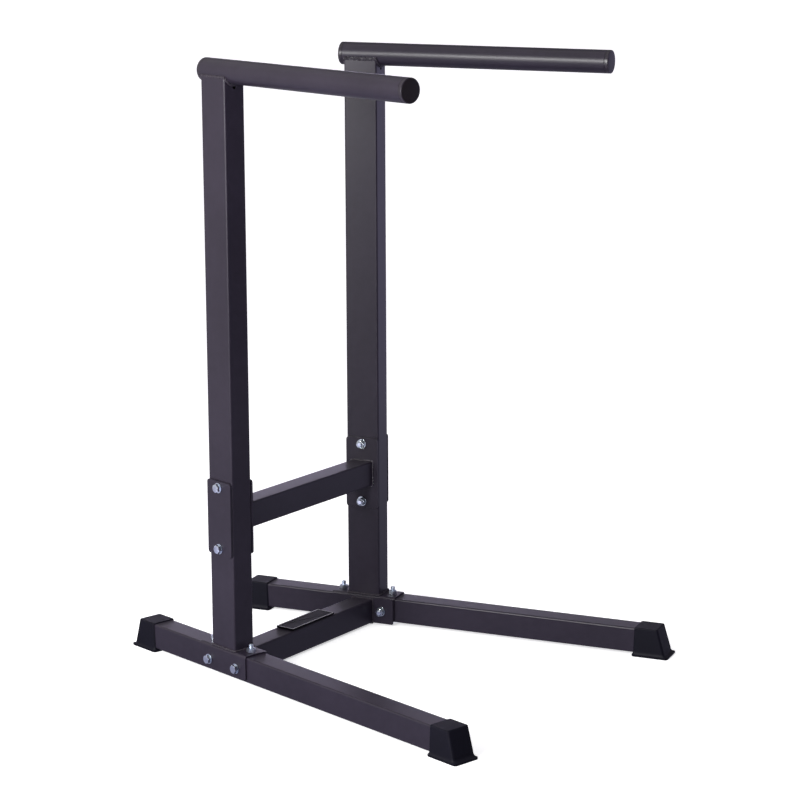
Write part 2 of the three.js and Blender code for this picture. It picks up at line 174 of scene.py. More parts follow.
class Signal:
    """A shader socket whose arithmetic adds Math nodes."""

    def __init__(self, tree: "FinishTree", socket: bpy.types.NodeSocket) -> None:
        """Wraps one output socket of a tree."""
        self.tree = tree
        self.socket = socket

    def _math(self, operation: str, first: "Signal | float", second: "Signal | float") -> "Signal":
        """The result of one Math node."""
        node = self.tree.node("ShaderNodeMath", {"operation": operation}, {0: first, 1: second})
        return self.tree.out(node, 0)

    def __add__(self, other: "Signal | float") -> "Signal":
        """This value plus another."""
        return self._math("ADD", self, other)

    def __radd__(self, other: float) -> "Signal":
        """A number plus this value."""
        return self._math("ADD", other, self)

    def __sub__(self, other: "Signal | float") -> "Signal":
        """This value minus another."""
        return self._math("SUBTRACT", self, other)

    def __rsub__(self, other: float) -> "Signal":
        """A number minus this value."""
        return self._math("SUBTRACT", other, self)

    def __mul__(self, other: "Signal | float") -> "Signal":
        """This value times another."""
        return self._math("MULTIPLY", self, other)

    def __rmul__(self, other: float) -> "Signal":
        """A number times this value."""
        return self._math("MULTIPLY", other, self)


class FinishTree:
    """The node tree of one material or world."""

    def __init__(self, owner: bpy.types.Material | bpy.types.World) -> None:
        """Takes over a node tree and empties it.

        Args:
            owner: The material or the world that has it.
        """
        owner.use_nodes = True
        self.owner = owner
        self.tree = owner.node_tree
        self.tree.nodes.clear()

    @classmethod
    def material(cls, name: str) -> "FinishTree":
        """Starts an empty material of that name."""
        return cls(bpy.data.materials.new(name))

    def node(self, kind: str, settings: dict | None = None, values: dict | None = None) -> bpy.types.Node:
        """Adds one node: its settings first, then its sockets.

        Args:
            kind: The node's type.
            settings: Attributes of the node.
            values: A number, a colour or a signal for each named or numbered socket.

        Returns:
            The node.
        """
        node = self.tree.nodes.new(kind)
        for key, value in (settings or {}).items():
            setattr(node, key, value)
        for key, value in (values or {}).items():
            if isinstance(value, Signal):
                self.tree.links.new(value.socket, node.inputs[key])
            else:
                node.inputs[key].default_value = value
        return node

    def out(self, node: bpy.types.Node, key: int | str) -> Signal:
        """Wraps one output of a node."""
        return Signal(self, node.outputs[key])

    def place(self) -> Signal:
        """The point on the piece, in the piece's own frame."""
        return self.out(self.node("ShaderNodeTexCoord"), "Object")

    def noise(self, scale: float, detail: float = 2.0, roughness: float = 0.5) -> Signal:
        """Fractal noise between 0 and 1, with that many cells in a metre of the piece."""
        values = {"Vector": self.place(), "Scale": scale, "Detail": detail, "Roughness": roughness}
        return self.out(self.node("ShaderNodeTexNoise", values=values), 0)

    def spread(self, signal: Signal, low: float = 0.3, high: float = 0.7) -> Signal:
        """Stretches the part of a signal from low to high to the range from 0 to 1, smoothly."""
        values = {"Value": signal, "From Min": low, "From Max": high}
        return self.out(self.node("ShaderNodeMapRange", {"interpolation_type": "SMOOTHSTEP"}, values), 0)

    def blend(self, share: Signal | float, first: Signal | Colour, second: Signal | Colour) -> Signal:
        """Mixes two colours.

        Args:
            share: How much of the second shows.
            first: The colour at 0.
            second: The colour at 1.

        Returns:
            The mixed colour.
        """
        pair = [value if isinstance(value, Signal) else (*value, 1.0) for value in (first, second)]
        node = self.node("ShaderNodeMix", {"data_type": "RGBA"}, {0: share, 6: pair[0], 7: pair[1]})
        return self.out(node, 2)

    def relief(self, height: Signal, distance: float) -> Signal:
        """Turns a height from 0 to 1, over a distance in metres, into a normal."""
        values = {"Height": height, "Distance": distance, "Strength": 1.0}
        return self.out(self.node("ShaderNodeBump", values=values), 0)

    def surface(self, **values: Signal | float | tuple) -> bpy.types.Material:
        """Closes the tree with one Principled surface.

        Args:
            values: The sockets' values, with underscores for the spaces in their names.

        Returns:
            The finished material.
        """
        sockets = {key.replace("_", " "): value for key, value in values.items()}
        shader = self.node("ShaderNodeBsdfPrincipled", values=sockets)
        self.node("ShaderNodeOutputMaterial", values={"Surface": self.out(shader, 0)})
        return self.owner


# Finishes


@dataclass(frozen=True)
class PowderCoat:
    """Satin charcoal powder coat with a slight purple cast, orange peel and a little drift."""

    name: str = "powder_coat"
    deep: Colour = (0.0146, 0.0113, 0.0190)
    pale: Colour = (0.0209, 0.0163, 0.0268)
    roughness: float = 0.37
    specular: float = 0.32
    peel_scale: float = 420.0
    peel_depth: float = 0.05 * MM

    def material(self) -> bpy.types.Material:
        """Builds the coat.

        Returns:
            The material.
        """
        tree = FinishTree.material(self.name)
        drift = tree.noise(7.0)
        cloud = tree.noise(85.0, 3.0)
        grain = tree.noise(1900.0, 1.0)
        peel = tree.noise(self.peel_scale, 2.0, 0.4)
        shade = tree.spread(drift * 0.5 + cloud * 0.3 + grain * 0.2, 0.32, 0.68)
        return tree.surface(
            Base_Color=tree.blend(shade, self.deep, self.pale),
            Roughness=self.roughness - 0.04 + cloud * 0.05 + grain * 0.04,
            Specular_IOR_Level=self.specular,
            Normal=tree.relief(peel * 0.85 + grain * 0.15, self.peel_depth),
        )


@dataclass(frozen=True)
class CoatedWeld:
    """The same coat over a weld: lumpy, with small spatter that is glossier and painted with pale flecks as
    painted glints.
    """

    name: str
    # How much of the painted glint shows: pale flecks painted on the spatter.
    spatter: float
    deep: Colour = (0.0165, 0.0130, 0.0195)
    pale: Colour = (0.0320, 0.0265, 0.0350)
    # The colour of the painted glints.
    fleck: Colour = (0.62, 0.62, 0.64)
    roughness: float = 0.38
    specular: float = 0.4

    def material(self) -> bpy.types.Material:
        """Builds the coat over the weld.

        Returns:
            The material.
        """
        tree = FinishTree.material(self.name)
        lump = tree.noise(320.0, 3.0, 0.6)
        grain = tree.noise(1400.0)
        # Where spatter lies: a little glossier, and painted pale as a painted glint.
        spatter = tree.spread(tree.noise(880.0, 2.0, 0.55), 0.61, 0.67)
        coat = tree.blend(tree.spread(lump), self.deep, self.pale)
        return tree.surface(
            Base_Color=tree.blend(spatter * self.spatter, coat, self.fleck),
            Roughness=self.roughness + grain * 0.1 - spatter * 0.1,
            Specular_IOR_Level=self.specular,
            Normal=tree.relief(lump * 0.7 + grain * 0.3, 0.35 * MM),
        )


@dataclass(frozen=True)
class BareBore:
    """Near-black painted shade inside a drilled hole, standing for the dark in it."""

    name: str = "bare_bore"
    deep: Colour = (0.0012, 0.0010, 0.0012)
    pale: Colour = (0.0035, 0.0028, 0.0028)
    roughness: float = 0.7

    def material(self) -> bpy.types.Material:
        """Builds the painted shade.

        Returns:
            The material.
        """
        tree = FinishTree.material(self.name)
        # A faint mottle and bump in the painted shade.
        scale = tree.noise(900.0, 3.0)
        return tree.surface(
            Base_Color=tree.blend(scale, self.deep, self.pale),
            Roughness=self.roughness - 0.05 + scale * 0.1,
            Specular_IOR_Level=0.1,
            Normal=tree.relief(scale, 0.03 * MM),
        )


@dataclass(frozen=True)
class MouldedPlastic:
    """Matt black moulded plastic with a fine spark-eroded grain."""

    name: str
    deep: Colour
    pale: Colour
    roughness: float = 0.55
    specular: float = 0.3
    grain_scale: float = 1300.0

    def material(self) -> bpy.types.Material:
        """Builds the plastic.

        Returns:
            The material.
        """
        tree = FinishTree.material(self.name)
        flow = tree.noise(26.0, 3.0)
        grain = tree.noise(self.grain_scale, 2.0, 0.6)
        rub = tree.spread(tree.noise(130.0, 4.0, 0.6), 0.52, 0.72)
        return tree.surface(
            Base_Color=tree.blend(flow * 0.7 + rub * 0.3, self.deep, self.pale),
            Roughness=self.roughness - 0.05 + flow * 0.06 + grain * 0.08 - rub * 0.05,
            Specular_IOR_Level=self.specular,
            Normal=tree.relief(grain * 0.8 + flow * 0.2, 0.06 * MM),
        )


@dataclass(frozen=True)
class ZincPlate:
    """Bright zinc plate with a cold tint, faint clouding and a fine grain."""

    name: str = "zinc_plate"
    cold: Colour = (0.66, 0.73, 0.84)
    warm: Colour = (0.80, 0.85, 0.91)
    roughness: float = 0.11

    def material(self) -> bpy.types.Material:
        """Builds the plating.

        Returns:
            The material.
        """
        tree = FinishTree.material(self.name)
        cloud = tree.noise(210.0, 3.0)
        grain = tree.noise(2300.0)
        return tree.surface(
            Base_Color=tree.blend(tree.spread(cloud), self.cold, self.warm),
            Metallic=1.0,
            Roughness=self.roughness - 0.05 + cloud * 0.08 + grain * 0.06,
            Normal=tree.relief(grain, 0.02 * MM),
        )


@dataclass(frozen=True)
class BadgeLacquer:
    """Smooth black lacquer of the blank plate."""

    name: str = "badge_lacquer"
    deep: Colour = (0.0035, 0.0032, 0.0042)
    pale: Colour = (0.0070, 0.0065, 0.0080)
    roughness: float = 0.5

    def material(self) -> bpy.types.Material:
        """Builds the lacquer.

        Returns:
            The material.
        """
        tree = FinishTree.material(self.name)
        cloud = tree.noise(60.0, 3.0)
        grain = tree.noise(1700.0)
        return tree.surface(
            Base_Color=tree.blend(cloud, self.deep, self.pale),
            Roughness=self.roughness - 0.04 + cloud * 0.05 + grain * 0.04,
            Specular_IOR_Level=0.06,
            Normal=tree.relief(grain, 0.015 * MM),
        )


@dataclass(frozen=True)
class BorderPaint:
    """Pale satin paint of the blank plate's narrow border."""

    name: str = "badge_border_paint"
    deep: Colour = (0.50, 0.49, 0.52)
    pale: Colour = (0.62, 0.61, 0.64)
    roughness: float = 0.4

    def material(self) -> bpy.types.Material:
        """Builds the paint.

        Returns:
            The material.
        """
        tree = FinishTree.material(self.name)
        cloud = tree.noise(240.0, 3.0)
        grain = tree.noise(1700.0)
        return tree.surface(
            Base_Color=tree.blend(tree.spread(cloud), self.deep, self.pale),
            Metallic=0.4,
            Roughness=self.roughness + grain * 0.08,
            Normal=tree.relief(grain, 0.02 * MM),
        )


@dataclass(frozen=True)
class StudioPaper:
    """The plain pale floor and the wall behind it."""

    name: str = "studio_paper"
    deep: Colour = (0.86, 0.86, 0.865)
    pale: Colour = (0.89, 0.89, 0.89)
    glow: float = 0.62

    def material(self) -> bpy.types.Material:
        """Builds the paper.

        Returns:
            The material.
        """
        tree = FinishTree.material(self.name)
        cloud = tree.noise(1.3)
        return tree.surface(
            Base_Color=tree.blend(cloud, self.deep, self.pale),
            Roughness=0.9,
            Specular_IOR_Level=0.1,
            Emission_Color=(*self.pale, 1.0),
            Emission_Strength=self.glow,
        )


class Finishes:
    """One of each finish, built once."""

    def __init__(self) -> None:
        """Builds every material."""
        self.coat = PowderCoat().material()
        self.rough_weld = CoatedWeld("powder_coat_on_rough_weld", 0.8).material()
        self.even_weld = CoatedWeld(
            "powder_coat_on_even_weld", 0.1, roughness=0.5, specular=0.25
        ).material()
        # Near-black painted shade for the inside of the vent hole.
        self.bore = BareBore().material()
        self.foot = MouldedPlastic(
            "foot_plastic", (0.0022, 0.0020, 0.0052), (0.0042, 0.0038, 0.0098), 0.56, 0.15
        ).material()
        self.cap = MouldedPlastic(
            "cap_plastic", (0.0075, 0.0050, 0.0058), (0.0150, 0.0105, 0.0115), 0.5, 0.3, 700.0
        ).material()
        self.collar = MouldedPlastic(
            "cap_collar_plastic", (0.0150, 0.0115, 0.0175), (0.0205, 0.0160, 0.0235), 0.34, 0.4, 1000.0
        ).material()
        self.zinc = ZincPlate().material()
        # A darker copy of the zinc for the nuts inside the joints: painted shade.
        self.dull_zinc = ZincPlate(
            "dull_zinc_plate", (0.36, 0.41, 0.44), (0.66, 0.71, 0.73), 0.15
        ).material()
        self.satin_zinc = ZincPlate(
            "satin_zinc_plate", (0.62, 0.69, 0.80), (0.78, 0.83, 0.90), 0.3
        ).material()
        self.badge = BadgeLacquer().material()
        self.border = BorderPaint().material()
        self.floor = StudioPaper().material()
        self.wall = StudioPaper("studio_wall_paper", glow=1.2).material()


# Forms


def made_items(made: dict, kind: type) -> list:
    """The elements of one kind that a bmesh operator made."""
    return [item for item in made["geom"] if isinstance(item, kind)]


class Form:
    """A shape under way, a bmesh with a maker's tools. They work in place and return the form."""

    def __init__(self) -> None:
        """Starts with nothing."""
        self.mesh = bmesh.new()

    @classmethod
    def sheet(cls, width: float, height: float, corner: float = 0.0, steps: int = 6) -> "Form":
        """A flat face in x and y, looking to +z, with rounded corners.

        Args:
            width: Its size along x.
            height: Its size along y.
            corner: Its corners' radius.
            steps: Edges in each corner.

        Returns:
            The form.
        """
        form = cls()
        bmesh.ops.create_grid(form.mesh, x_segments=1, y_segments=1, size=0.5)
        bmesh.ops.scale(form.mesh, vec=(width, height, 1), verts=form.mesh.verts)
        if corner:
            form.round_points(form.mesh.verts[:], corner, steps)
        return form

    @classmethod
    def ring(cls, radius: float, segments: int, filled: bool = False) -> "Form":
        """A circle in x and y.

        Args:
            radius: Its radius.
            segments: Its edges.
            filled: Whether it has a face.

        Returns:
            The form.
        """
        form = cls()
        bmesh.ops.create_circle(form.mesh, cap_ends=filled, segments=segments, radius=radius)
        return form

    @classmethod
    def line(cls, points: list[tuple[float, float, float]], closed: bool = False) -> "Form":
        """A chain of edges through a few points.

        Args:
            points: The points.
            closed: Whether the last joins the first.

        Returns:
            The form.
        """
        form = cls()
        verts = [form.mesh.verts.new(point) for point in points]
        pairs = list(zip(verts, verts[1:]))
        if closed:
            pairs.append((verts[-1], verts[0]))
        for pair in pairs:
            form.mesh.edges.new(pair)
        return form

    @classmethod
    def turned(cls, profile: list[tuple[float, float]], segments: int) -> "Form":
        """Turns a profile about z.

        Args:
            profile: Pairs of radius and height, from pole to pole or closed on itself.
            segments: Steps of the full turn.

        Returns:
            The closed form.
        """
        closed = profile[0][0] > 0 or profile[-1][0] > 0
        form = cls.line([(radius, 0.0, height) for radius, height in profile], closed)
        geometry = form.mesh.verts[:] + form.mesh.edges[:]
        bmesh.ops.spin(
            form.mesh, geom=geometry, cent=(0, 0, 0), axis=(0, 0, 1), dvec=(0, 0, 0),
            angle=math.tau, steps=segments, use_merge=True, use_duplicate=False,
        )
        return form.tidy()

    @classmethod
    def of(cls, mesh: bpy.types.Mesh) -> "Form":
        """Copies a mesh.

        Args:
            mesh: The mesh.

        Returns:
            A form with its faces.
        """
        form = cls()
        form.mesh.from_mesh(mesh)
        return form

    def tidy(self, distance: float = TOUCH) -> "Form":
        """Merges doubles and turns all faces out.

        Args:
            distance: How near two points are to be one.

        Returns:
            The form.
        """
        bmesh.ops.remove_doubles(self.mesh, verts=self.mesh.verts, dist=distance)
        bmesh.ops.recalc_face_normals(self.mesh, faces=self.mesh.faces)
        return self

    def bevel(self, geometry: list, radius: float, steps: int, affect: str) -> "Form":
        """Bevels points or edges.

        Args:
            geometry: The points or edges.
            radius: Their radius.
            steps: Edges or faces in each.
            affect: VERTICES or EDGES.

        Returns:
            The form.
        """
        bmesh.ops.bevel(
            self.mesh, geom=geometry, offset=radius, offset_type="OFFSET", affect=affect,
            segments=steps, profile=0.5, material=-1, clamp_overlap=True,
        )
        return self

    def round_points(self, points: list[bmesh.types.BMVert], radius: float, steps: int) -> "Form":
        """Rounds the corners of flat faces."""
        return self.bevel(points, radius, steps, "VERTICES")

    def round_edges(self, edges: list[bmesh.types.BMEdge], radius: float, steps: int) -> "Form":
        """Rounds edges between faces."""
        return self.bevel(edges, radius, steps, "EDGES")

    def sharp_edges(self, limit: float = 60.0) -> list[bmesh.types.BMEdge]:
        """Finds the edges where two faces meet at more than an angle.

        Args:
            limit: The angle in degrees.

        Returns:
            The edges.
        """
        self.mesh.normal_update()
        folded = [edge for edge in self.mesh.edges if len(edge.link_faces) == 2]
        return [edge for edge in folded if edge.calc_face_angle(0) > math.radians(limit)]

    def edges_at(self, height: float, limit: float) -> list[bmesh.types.BMEdge]:
        """Finds the sharp edges that lie at one height."""
        edges = self.sharp_edges(limit)
        return [edge for edge in edges if all(abs(vert.co.z - height) < NEAR for vert in edge.verts)]

    def pull(self, offset: tuple[float, float, float]) -> "Form":
        """Extrudes a sheet's faces into a block.

        Args:
            offset: Where the new face goes.

        Returns:
            The closed form.
        """
        made = bmesh.ops.extrude_face_region(self.mesh, geom=self.mesh.faces[:], use_keep_orig=True)
        bmesh.ops.translate(self.mesh, vec=offset, verts=made_items(made, bmesh.types.BMVert))
        return self.tidy()

    def draw(self, offset: tuple[float, float, float]) -> "Form":
        """Extrudes a chain of edges into a strip or an open tube.

        Args:
            offset: Where its far end goes.

        Returns:
            The open form.
        """
        made = bmesh.ops.extrude_edge_only(self.mesh, edges=self.mesh.edges[:])
        bmesh.ops.translate(self.mesh, vec=offset, verts=made_items(made, bmesh.types.BMVert))
        return self.tidy()

    def hollow(self) -> "Form":
        """Drops a sheet's face and keeps its outline."""
        bmesh.ops.delete(self.mesh, geom=self.mesh.faces[:], context="FACES_ONLY")
        return self

    def move(self, x: float = 0.0, y: float = 0.0, z: float = 0.0) -> "Form":
        """Shifts the form."""
        return self.apply(Matrix.Translation((x, y, z)))

    def turn(self, degrees: float, axis: str) -> "Form":
        """Turns the form about an axis through its origin."""
        return self.apply(Matrix.Rotation(math.radians(degrees), 4, axis))

    def apply(self, matrix: Matrix) -> "Form":
        """Applies a matrix to the form."""
        bmesh.ops.transform(self.mesh, matrix=matrix, verts=self.mesh.verts)
        return self

    def trim(self, point: Vector, outward: Vector) -> "Form":
        """Cuts off what lies beyond a plane.

        Args:
            point: A point of the plane.
            outward: The direction that is cut off.

        Returns:
            The form.
        """
        geometry = self.mesh.verts[:] + self.mesh.edges[:] + self.mesh.faces[:]
        bmesh.ops.bisect_plane(
            self.mesh, geom=geometry, dist=TOUCH, plane_co=point, plane_no=outward, clear_outer=True
        )
        return self

    def fill(self) -> "Form":
        """Closes every open end with a face.

        Returns:
            The closed form.
        """
        rim = [edge for edge in self.mesh.edges if edge.is_boundary]
        bmesh.ops.holes_fill(self.mesh, edges=rim, sides=0)
        return self.tidy()

    def join(self, other: "Form") -> "Form":
        """Adds another form's faces beside this one's.

        Args:
            other: The other form, which stays as it is.

        Returns:
            The form.
        """
        carrier = bpy.data.meshes.new("carrier")
        other.mesh.to_mesh(carrier)
        self.mesh.from_mesh(carrier)
        bpy.data.meshes.remove(carrier)
        return self

    def modify(self, kind: str, **settings: object) -> "Form":
        """Runs one modifier and keeps its result.

        Args:
            kind: The modifier's type.
            settings: Its settings.

        Returns:
            The form.
        """
        carrier = self.as_object("carrier")
        modifier = carrier.modifiers.new("step", kind)
        for key, value in settings.items():
            setattr(modifier, key, value)
        graph = bpy.context.evaluated_depsgraph_get()
        result = bpy.data.meshes.new_from_object(carrier.evaluated_get(graph))
        self.mesh.clear()
        self.mesh.from_mesh(result)
        bpy.data.meshes.remove(result)
        discard(carrier)
        return self

    def wall(self, thickness: float, outward: bool = False) -> "Form":
        """Gives an open skin a wall, which grows inward or outward."""
        side = 1.0 if outward else -1.0
        return self.modify("SOLIDIFY", thickness=thickness, offset=side, use_even_offset=True, use_rim=True)

    def carve(self, *tools: "Form", operation: str = "DIFFERENCE") -> "Form":
        """Cuts with other closed forms.

        Args:
            tools: The cutters.
            operation: The Boolean modifier's operation.

        Returns:
            The form.
        """
        for tool in tools:
            cutter = tool.as_object("cutter")
            self.modify("BOOLEAN", object=cutter, operation=operation, solver="EXACT")
            discard(cutter)
        return self

    def as_object(self, name: str) -> bpy.types.Object:
        """Puts the form into the scene.

        Args:
            name: The object's name.

        Returns:
            The object, at the origin.
        """
        mesh = bpy.data.meshes.new(name)
        self.mesh.to_mesh(mesh)
        piece = bpy.data.objects.new(name, mesh)
        bpy.context.scene.collection.objects.link(piece)
        return piece


def discard(piece: bpy.types.Object) -> None:
    """Removes a helper object and its mesh.

    Args:
        piece: The object.
    """
    mesh = piece.data
    bpy.data.objects.remove(piece)
    bpy.data.meshes.remove(mesh)


def bar(radius: float, axis: str, start: float, end: float, segments: int = 32) -> Form:
    """A closed round bar along an axis through the origin, mostly used as a drill.

    Args:
        radius: Its radius.
        axis: X, Y or Z.
        start: Where it starts on the axis.
        end: Where it ends.
        segments: Faces around it.

    Returns:
        The form.
    """
    form = Form.ring(radius, segments, filled=True).pull((0, 0, end - start)).move(z=start)
    if axis == "X":
        form.turn(90, "Y")
    elif axis == "Y":
        form.turn(-90, "X")
    return form


def box_tube(width: float, height: float, corner: float, wall: float, length: float) -> Form:
    """A rectangular tube along z, from z = 0, with rounded outer corners."""
    return Form.sheet(width, height, corner).hollow().draw((0, 0, length)).wall(wall)


# Installing pieces


@dataclass
class Fitter:
    """Puts finished forms on the stand."""

    finishes: Finishes

    def install(
        self,
        name: str,
        form: Form,
        materials: tuple[bpy.types.Material, ...],
        nodes: tuple[str, ...] = (),
        crease: float = CREASE,
    ) -> None:
        """Makes a piece of a form, dresses it and lets it ride on the frame.

        Args:
            name: The piece's name.
            form: Its form, in place.
            materials: Its materials, by face index.
            nodes: The frame's nodes that it stands for.
            crease: The angle in degrees past which an edge stays sharp.
        """
        limit = math.radians(crease)
        form.mesh.normal_update()
        for face in form.mesh.faces:
            face.smooth = True
        for edge in form.mesh.edges:
            edge.smooth = len(edge.link_faces) == 2 and edge.calc_face_angle(0) < limit
        piece = form.as_object(name)
        for material in materials:
            piece.data.materials.append(material)
        modifier = piece.modifiers.new("even_shading", "WEIGHTED_NORMAL")
        modifier.keep_sharp = True
        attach(piece, ROOT)
        if nodes:
            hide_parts(*nodes)
        log.info("%s: %d faces", name, len(piece.data.polygons))

    def replace(
        self, node: str, form: Form, slot: Slot, *materials: bpy.types.Material, crease: float = CREASE
    ) -> None:
        """Installs the fine piece that stands for one node of the frame."""
        self.install(f"{node}_fine", form, materials, (node,), crease)

    def weld(self, name: str, form: Form, finish: bpy.types.Material) -> None:
        """Installs a bead, which stands for no node."""
        self.install(name, form, (finish,), crease=BEAD_CREASE)


# Fasteners


@dataclass
class Fasteners:
    """M8 bolts, nuts and washers, bright zinc, with a real thread where it shows."""

    diameter: float = 8 * MM
    pitch: float = 1.25 * MM
    thread_depth: float = 0.6 * MM
    across_flats: float = 13 * MM
    head_height: float = 5.3 * MM
    nut_height: float = 6.5 * MM
    washer_diameter: float = 17 * MM
    washer_bore: float = 8.6 * MM
    washer_thickness: float = 1.6 * MM
    dome_diameter: float = 19 * MM
    dome_height: float = 4.5 * MM
    dome_rim: float = 1 * MM
    neck_height: float = 3 * MM
    bore_play: float = 0.3 * MM
    bore_chamfer: float = 0.7 * MM
    play: float = 0.05 * MM
    turned_share: float = 0.97
    steps: int = 28

    def hexagon(self, height: float, both_ends: bool) -> Form:
        """A hexagonal block on z = 0 whose corners are turned down at 30 degrees.

        Args:
            height: Its height.
            both_ends: Whether the lower corners are turned down too.

        Returns:
            The closed form.
        """
        flats = self.across_flats / 2
        corners = flats / math.cos(math.pi / 6)
        reach = corners * 1.2
        face = flats * self.turned_share
        fall = (reach - face) * math.tan(math.radians(30))
        foot = [(face, 0.0), (reach, fall)] if both_ends else [(reach, 0.0)]
        profile = [(0.0, 0.0), *foot, (reach, height - fall), (face, height), (0.0, height)]
        turned = Form.turned(profile, 72)
        block = Form.ring(corners, 6, filled=True).pull((0, 0, height))
        return block.carve(turned, operation="INTERSECT").tidy()

    def thread(self, start: float, end: float) -> Form:
        """A helical thread about z.

        Args:
            start: Where it starts.
            end: Where it ends, with a chamfer.

        Returns:
            The closed form.
        """
        crest = self.diameter / 2 - self.play
        root = crest - self.thread_depth
        flank = self.pitch / 2 - 0.08 * MM
        turns = math.ceil((end - start) / self.pitch) + 2
        base = start - self.pitch
        form = Form.line(
            [
                (root, 0, base),
                (root, 0, base + 0.06 * MM),
                (crest, 0, base + flank),
                (crest, 0, base + flank + 0.12 * MM),
                (root, 0, base + self.pitch),
            ]
        )
        bmesh.ops.spin(
            form.mesh, geom=form.mesh.verts[:] + form.mesh.edges[:], cent=(0, 0, 0), axis=(0, 0, 1),
            dvec=(0, 0, self.pitch / self.steps), angle=math.tau * turns, steps=self.steps * turns,
            use_merge=False, use_duplicate=False,
        )
        form.tidy(0.02 * MM)
        form.trim(Vector((0, 0, start)), Vector((0, 0, -1)))
        form.trim(Vector((0, 0, end)), Vector((0, 0, 1)))
        return form.fill()

    def stud(self, length: float, shown: float, top: float) -> Form:
        """A bolt's shank, down from z = top to z = -length, threaded over its last stretch.

        Args:
            length: How far it reaches below z = 0.
            shown: The stretch with a thread.
            top: Where it starts.

        Returns:
            The closed forms.
        """
        radius = self.diameter / 2
        over = 0.2 * MM
        shoulder = -length + shown
        plain = Form.turned([(0.0, shoulder), (radius, shoulder), (radius, top), (0.0, top)], 32)
        cone = Form.turned(
            [
                (0.0, -length),
                (radius - 1.0 * MM, -length),
                (radius + over, -length + 1.2 * MM),
                (radius + over, shoulder + over),
                (0.0, shoulder + over),
            ],
            48,
        )
        thread = self.thread(-length - 0.5 * MM, shoulder + 0.1 * MM)
        return plain.join(thread.carve(cone, operation="INTERSECT"))

    def hex_bolt(self, length: float, shown: float) -> Form:
        """A hexagon-head bolt, seated at z = 0 with its head above and a shown stretch of thread below."""
        return self.hexagon(self.head_height, False).join(self.stud(length, shown, self.head_height / 2))

    def carriage_bolt(self, length: float, shown: float) -> Form:
        """A bolt with a domed head and a square neck, seated at z = 0 with its head above.

        Args:
            length: Its length under the head.
            shown: The stretch of thread that shows at its end.

        Returns:
            The closed forms.
        """
        radius = self.dome_diameter / 2
        rim = self.dome_rim
        rise = self.dome_height - rim
        profile = [(0.0, 0.0), (radius - 0.2 * MM, 0.0)]
        for step in range(10):
            angle = math.pi / 2 * step / 10
            profile.append((radius * math.cos(angle), rim + rise * math.sin(angle)))
        profile.append((0.0, self.dome_height))
        dome = Form.turned(profile, 56)
        neck = Form.sheet(self.diameter, self.diameter, 0.6 * MM, 3).pull((0, 0, self.neck_height + rim))
        return dome.join(neck.move(z=-self.neck_height)).join(self.stud(length, shown, rim))

    def washer(self) -> Form:
        """A flat washer on z = 0 with stamped, slightly rounded edges.

        Returns:
            The closed form.
        """
        outer = self.washer_diameter / 2
        inner = self.washer_bore / 2
        high = self.washer_thickness
        soft = 0.25 * MM
        profile = [
            (inner, soft), (inner + soft, 0.0), (outer - soft / 2, 0.0), (outer, soft / 2),
            (outer, high - soft), (outer - soft * 0.3, high - soft * 0.3), (outer - soft, high),
            (inner + soft, high), (inner, high - soft),
        ]
        return Form.turned(profile, 64)

    def plain_nut(self) -> Form:
        """A hexagon nut on z = 0, bored for the bolt.

        Returns:
            The closed form.
        """
        bore = self.diameter / 2 + self.bore_play
        block = self.hexagon(self.nut_height - self.play, True)
        over = 1.0 * MM
        chamfer = self.bore_chamfer
        drill = Form.turned(
            [
                (0.0, -over),
                (bore + chamfer + over, -over),
                (bore, chamfer),
                (bore, self.nut_height - chamfer),
                (bore + chamfer + over, self.nut_height + over),
                (0.0, self.nut_height + over),
            ],
            40,
        )
        return block.carve(drill)

    def nut(self) -> Form:
        """A washer and a hexagon nut on it, on z = 0."""
        return self.washer().join(self.plain_nut().move(z=self.washer_thickness + self.play))


# Welds


@dataclass
class Weld:
    """A bead laid along a path, with the ripples that the pool leaves."""

    radius: float = 2.2 * MM
    step: float = 0.55 * MM
    ripple: float = 2.1 * MM
    ripple_depth: float = 0.10
    unevenness: float = 2.5
    swell: float = 0.18
    swell_scale: float = 160.0
    wander: float = 0.35 * MM
    wander_scale: float = 90.0
    lump: float = 0.30 * MM
    lump_scale: float = 420.0

    def bead(self, path: list[Vector], closed: bool) -> Form:
        """Lays the bead.

        Args:
            path: Points along its middle.
            closed: Whether it comes back to its start.

        Returns:
            The closed form.
        """
        points = self.spaced(path, closed)
        curve = bpy.data.curves.new("bead", "CURVE")
        curve.dimensions = "3D"
        curve.bevel_depth = self.radius
        curve.bevel_resolution = 4
        curve.use_fill_caps = not closed
        spline = curve.splines.new("POLY")
        spline.points.add(len(points) - 1)
        for index, point in enumerate(points):
            wave = noise.noise(point * self.swell_scale)
            phase = math.tau * index * self.step / self.ripple + self.unevenness * wave
            drift = noise.noise_vector(point * self.wander_scale) * self.wander
            ripple = 1 + self.ripple_depth * math.sin(phase)
            spline.points[index].co = (*(point + drift), 1.0)
            spline.points[index].radius = ripple * (1 + self.swell * wave)
        spline.use_cyclic_u = closed
        carrier = bpy.data.objects.new("bead", curve)
        bpy.context.scene.collection.objects.link(carrier)
        graph = bpy.context.evaluated_depsgraph_get()
        mesh = bpy.data.meshes.new_from_object(carrier.evaluated_get(graph))
        form = Form.of(mesh).tidy(NEAR)
        bpy.data.objects.remove(carrier)
        bpy.data.curves.remove(curve)
        bpy.data.meshes.remove(mesh)
        form.mesh.normal_update()
        for vert in form.mesh.verts:
            vert.co += vert.normal * noise.noise(vert.co * self.lump_scale) * self.lump
        return form

    def spaced(self, path: list[Vector], closed: bool) -> list[Vector]:
        """Spreads points evenly along a path.

        Args:
            path: The path's own points.
            closed: Whether it comes back to its start.

        Returns:
            The even points.
        """
        track = path + [path[0]] if closed else path
        points: list[Vector] = []
        for start, end in zip(track, track[1:]):
            count = max(1, round((end - start).length / self.step))
            points += [start.lerp(end, index / count) for index in range(count)]
        if not closed:
            points.append(track[-1])
        return points


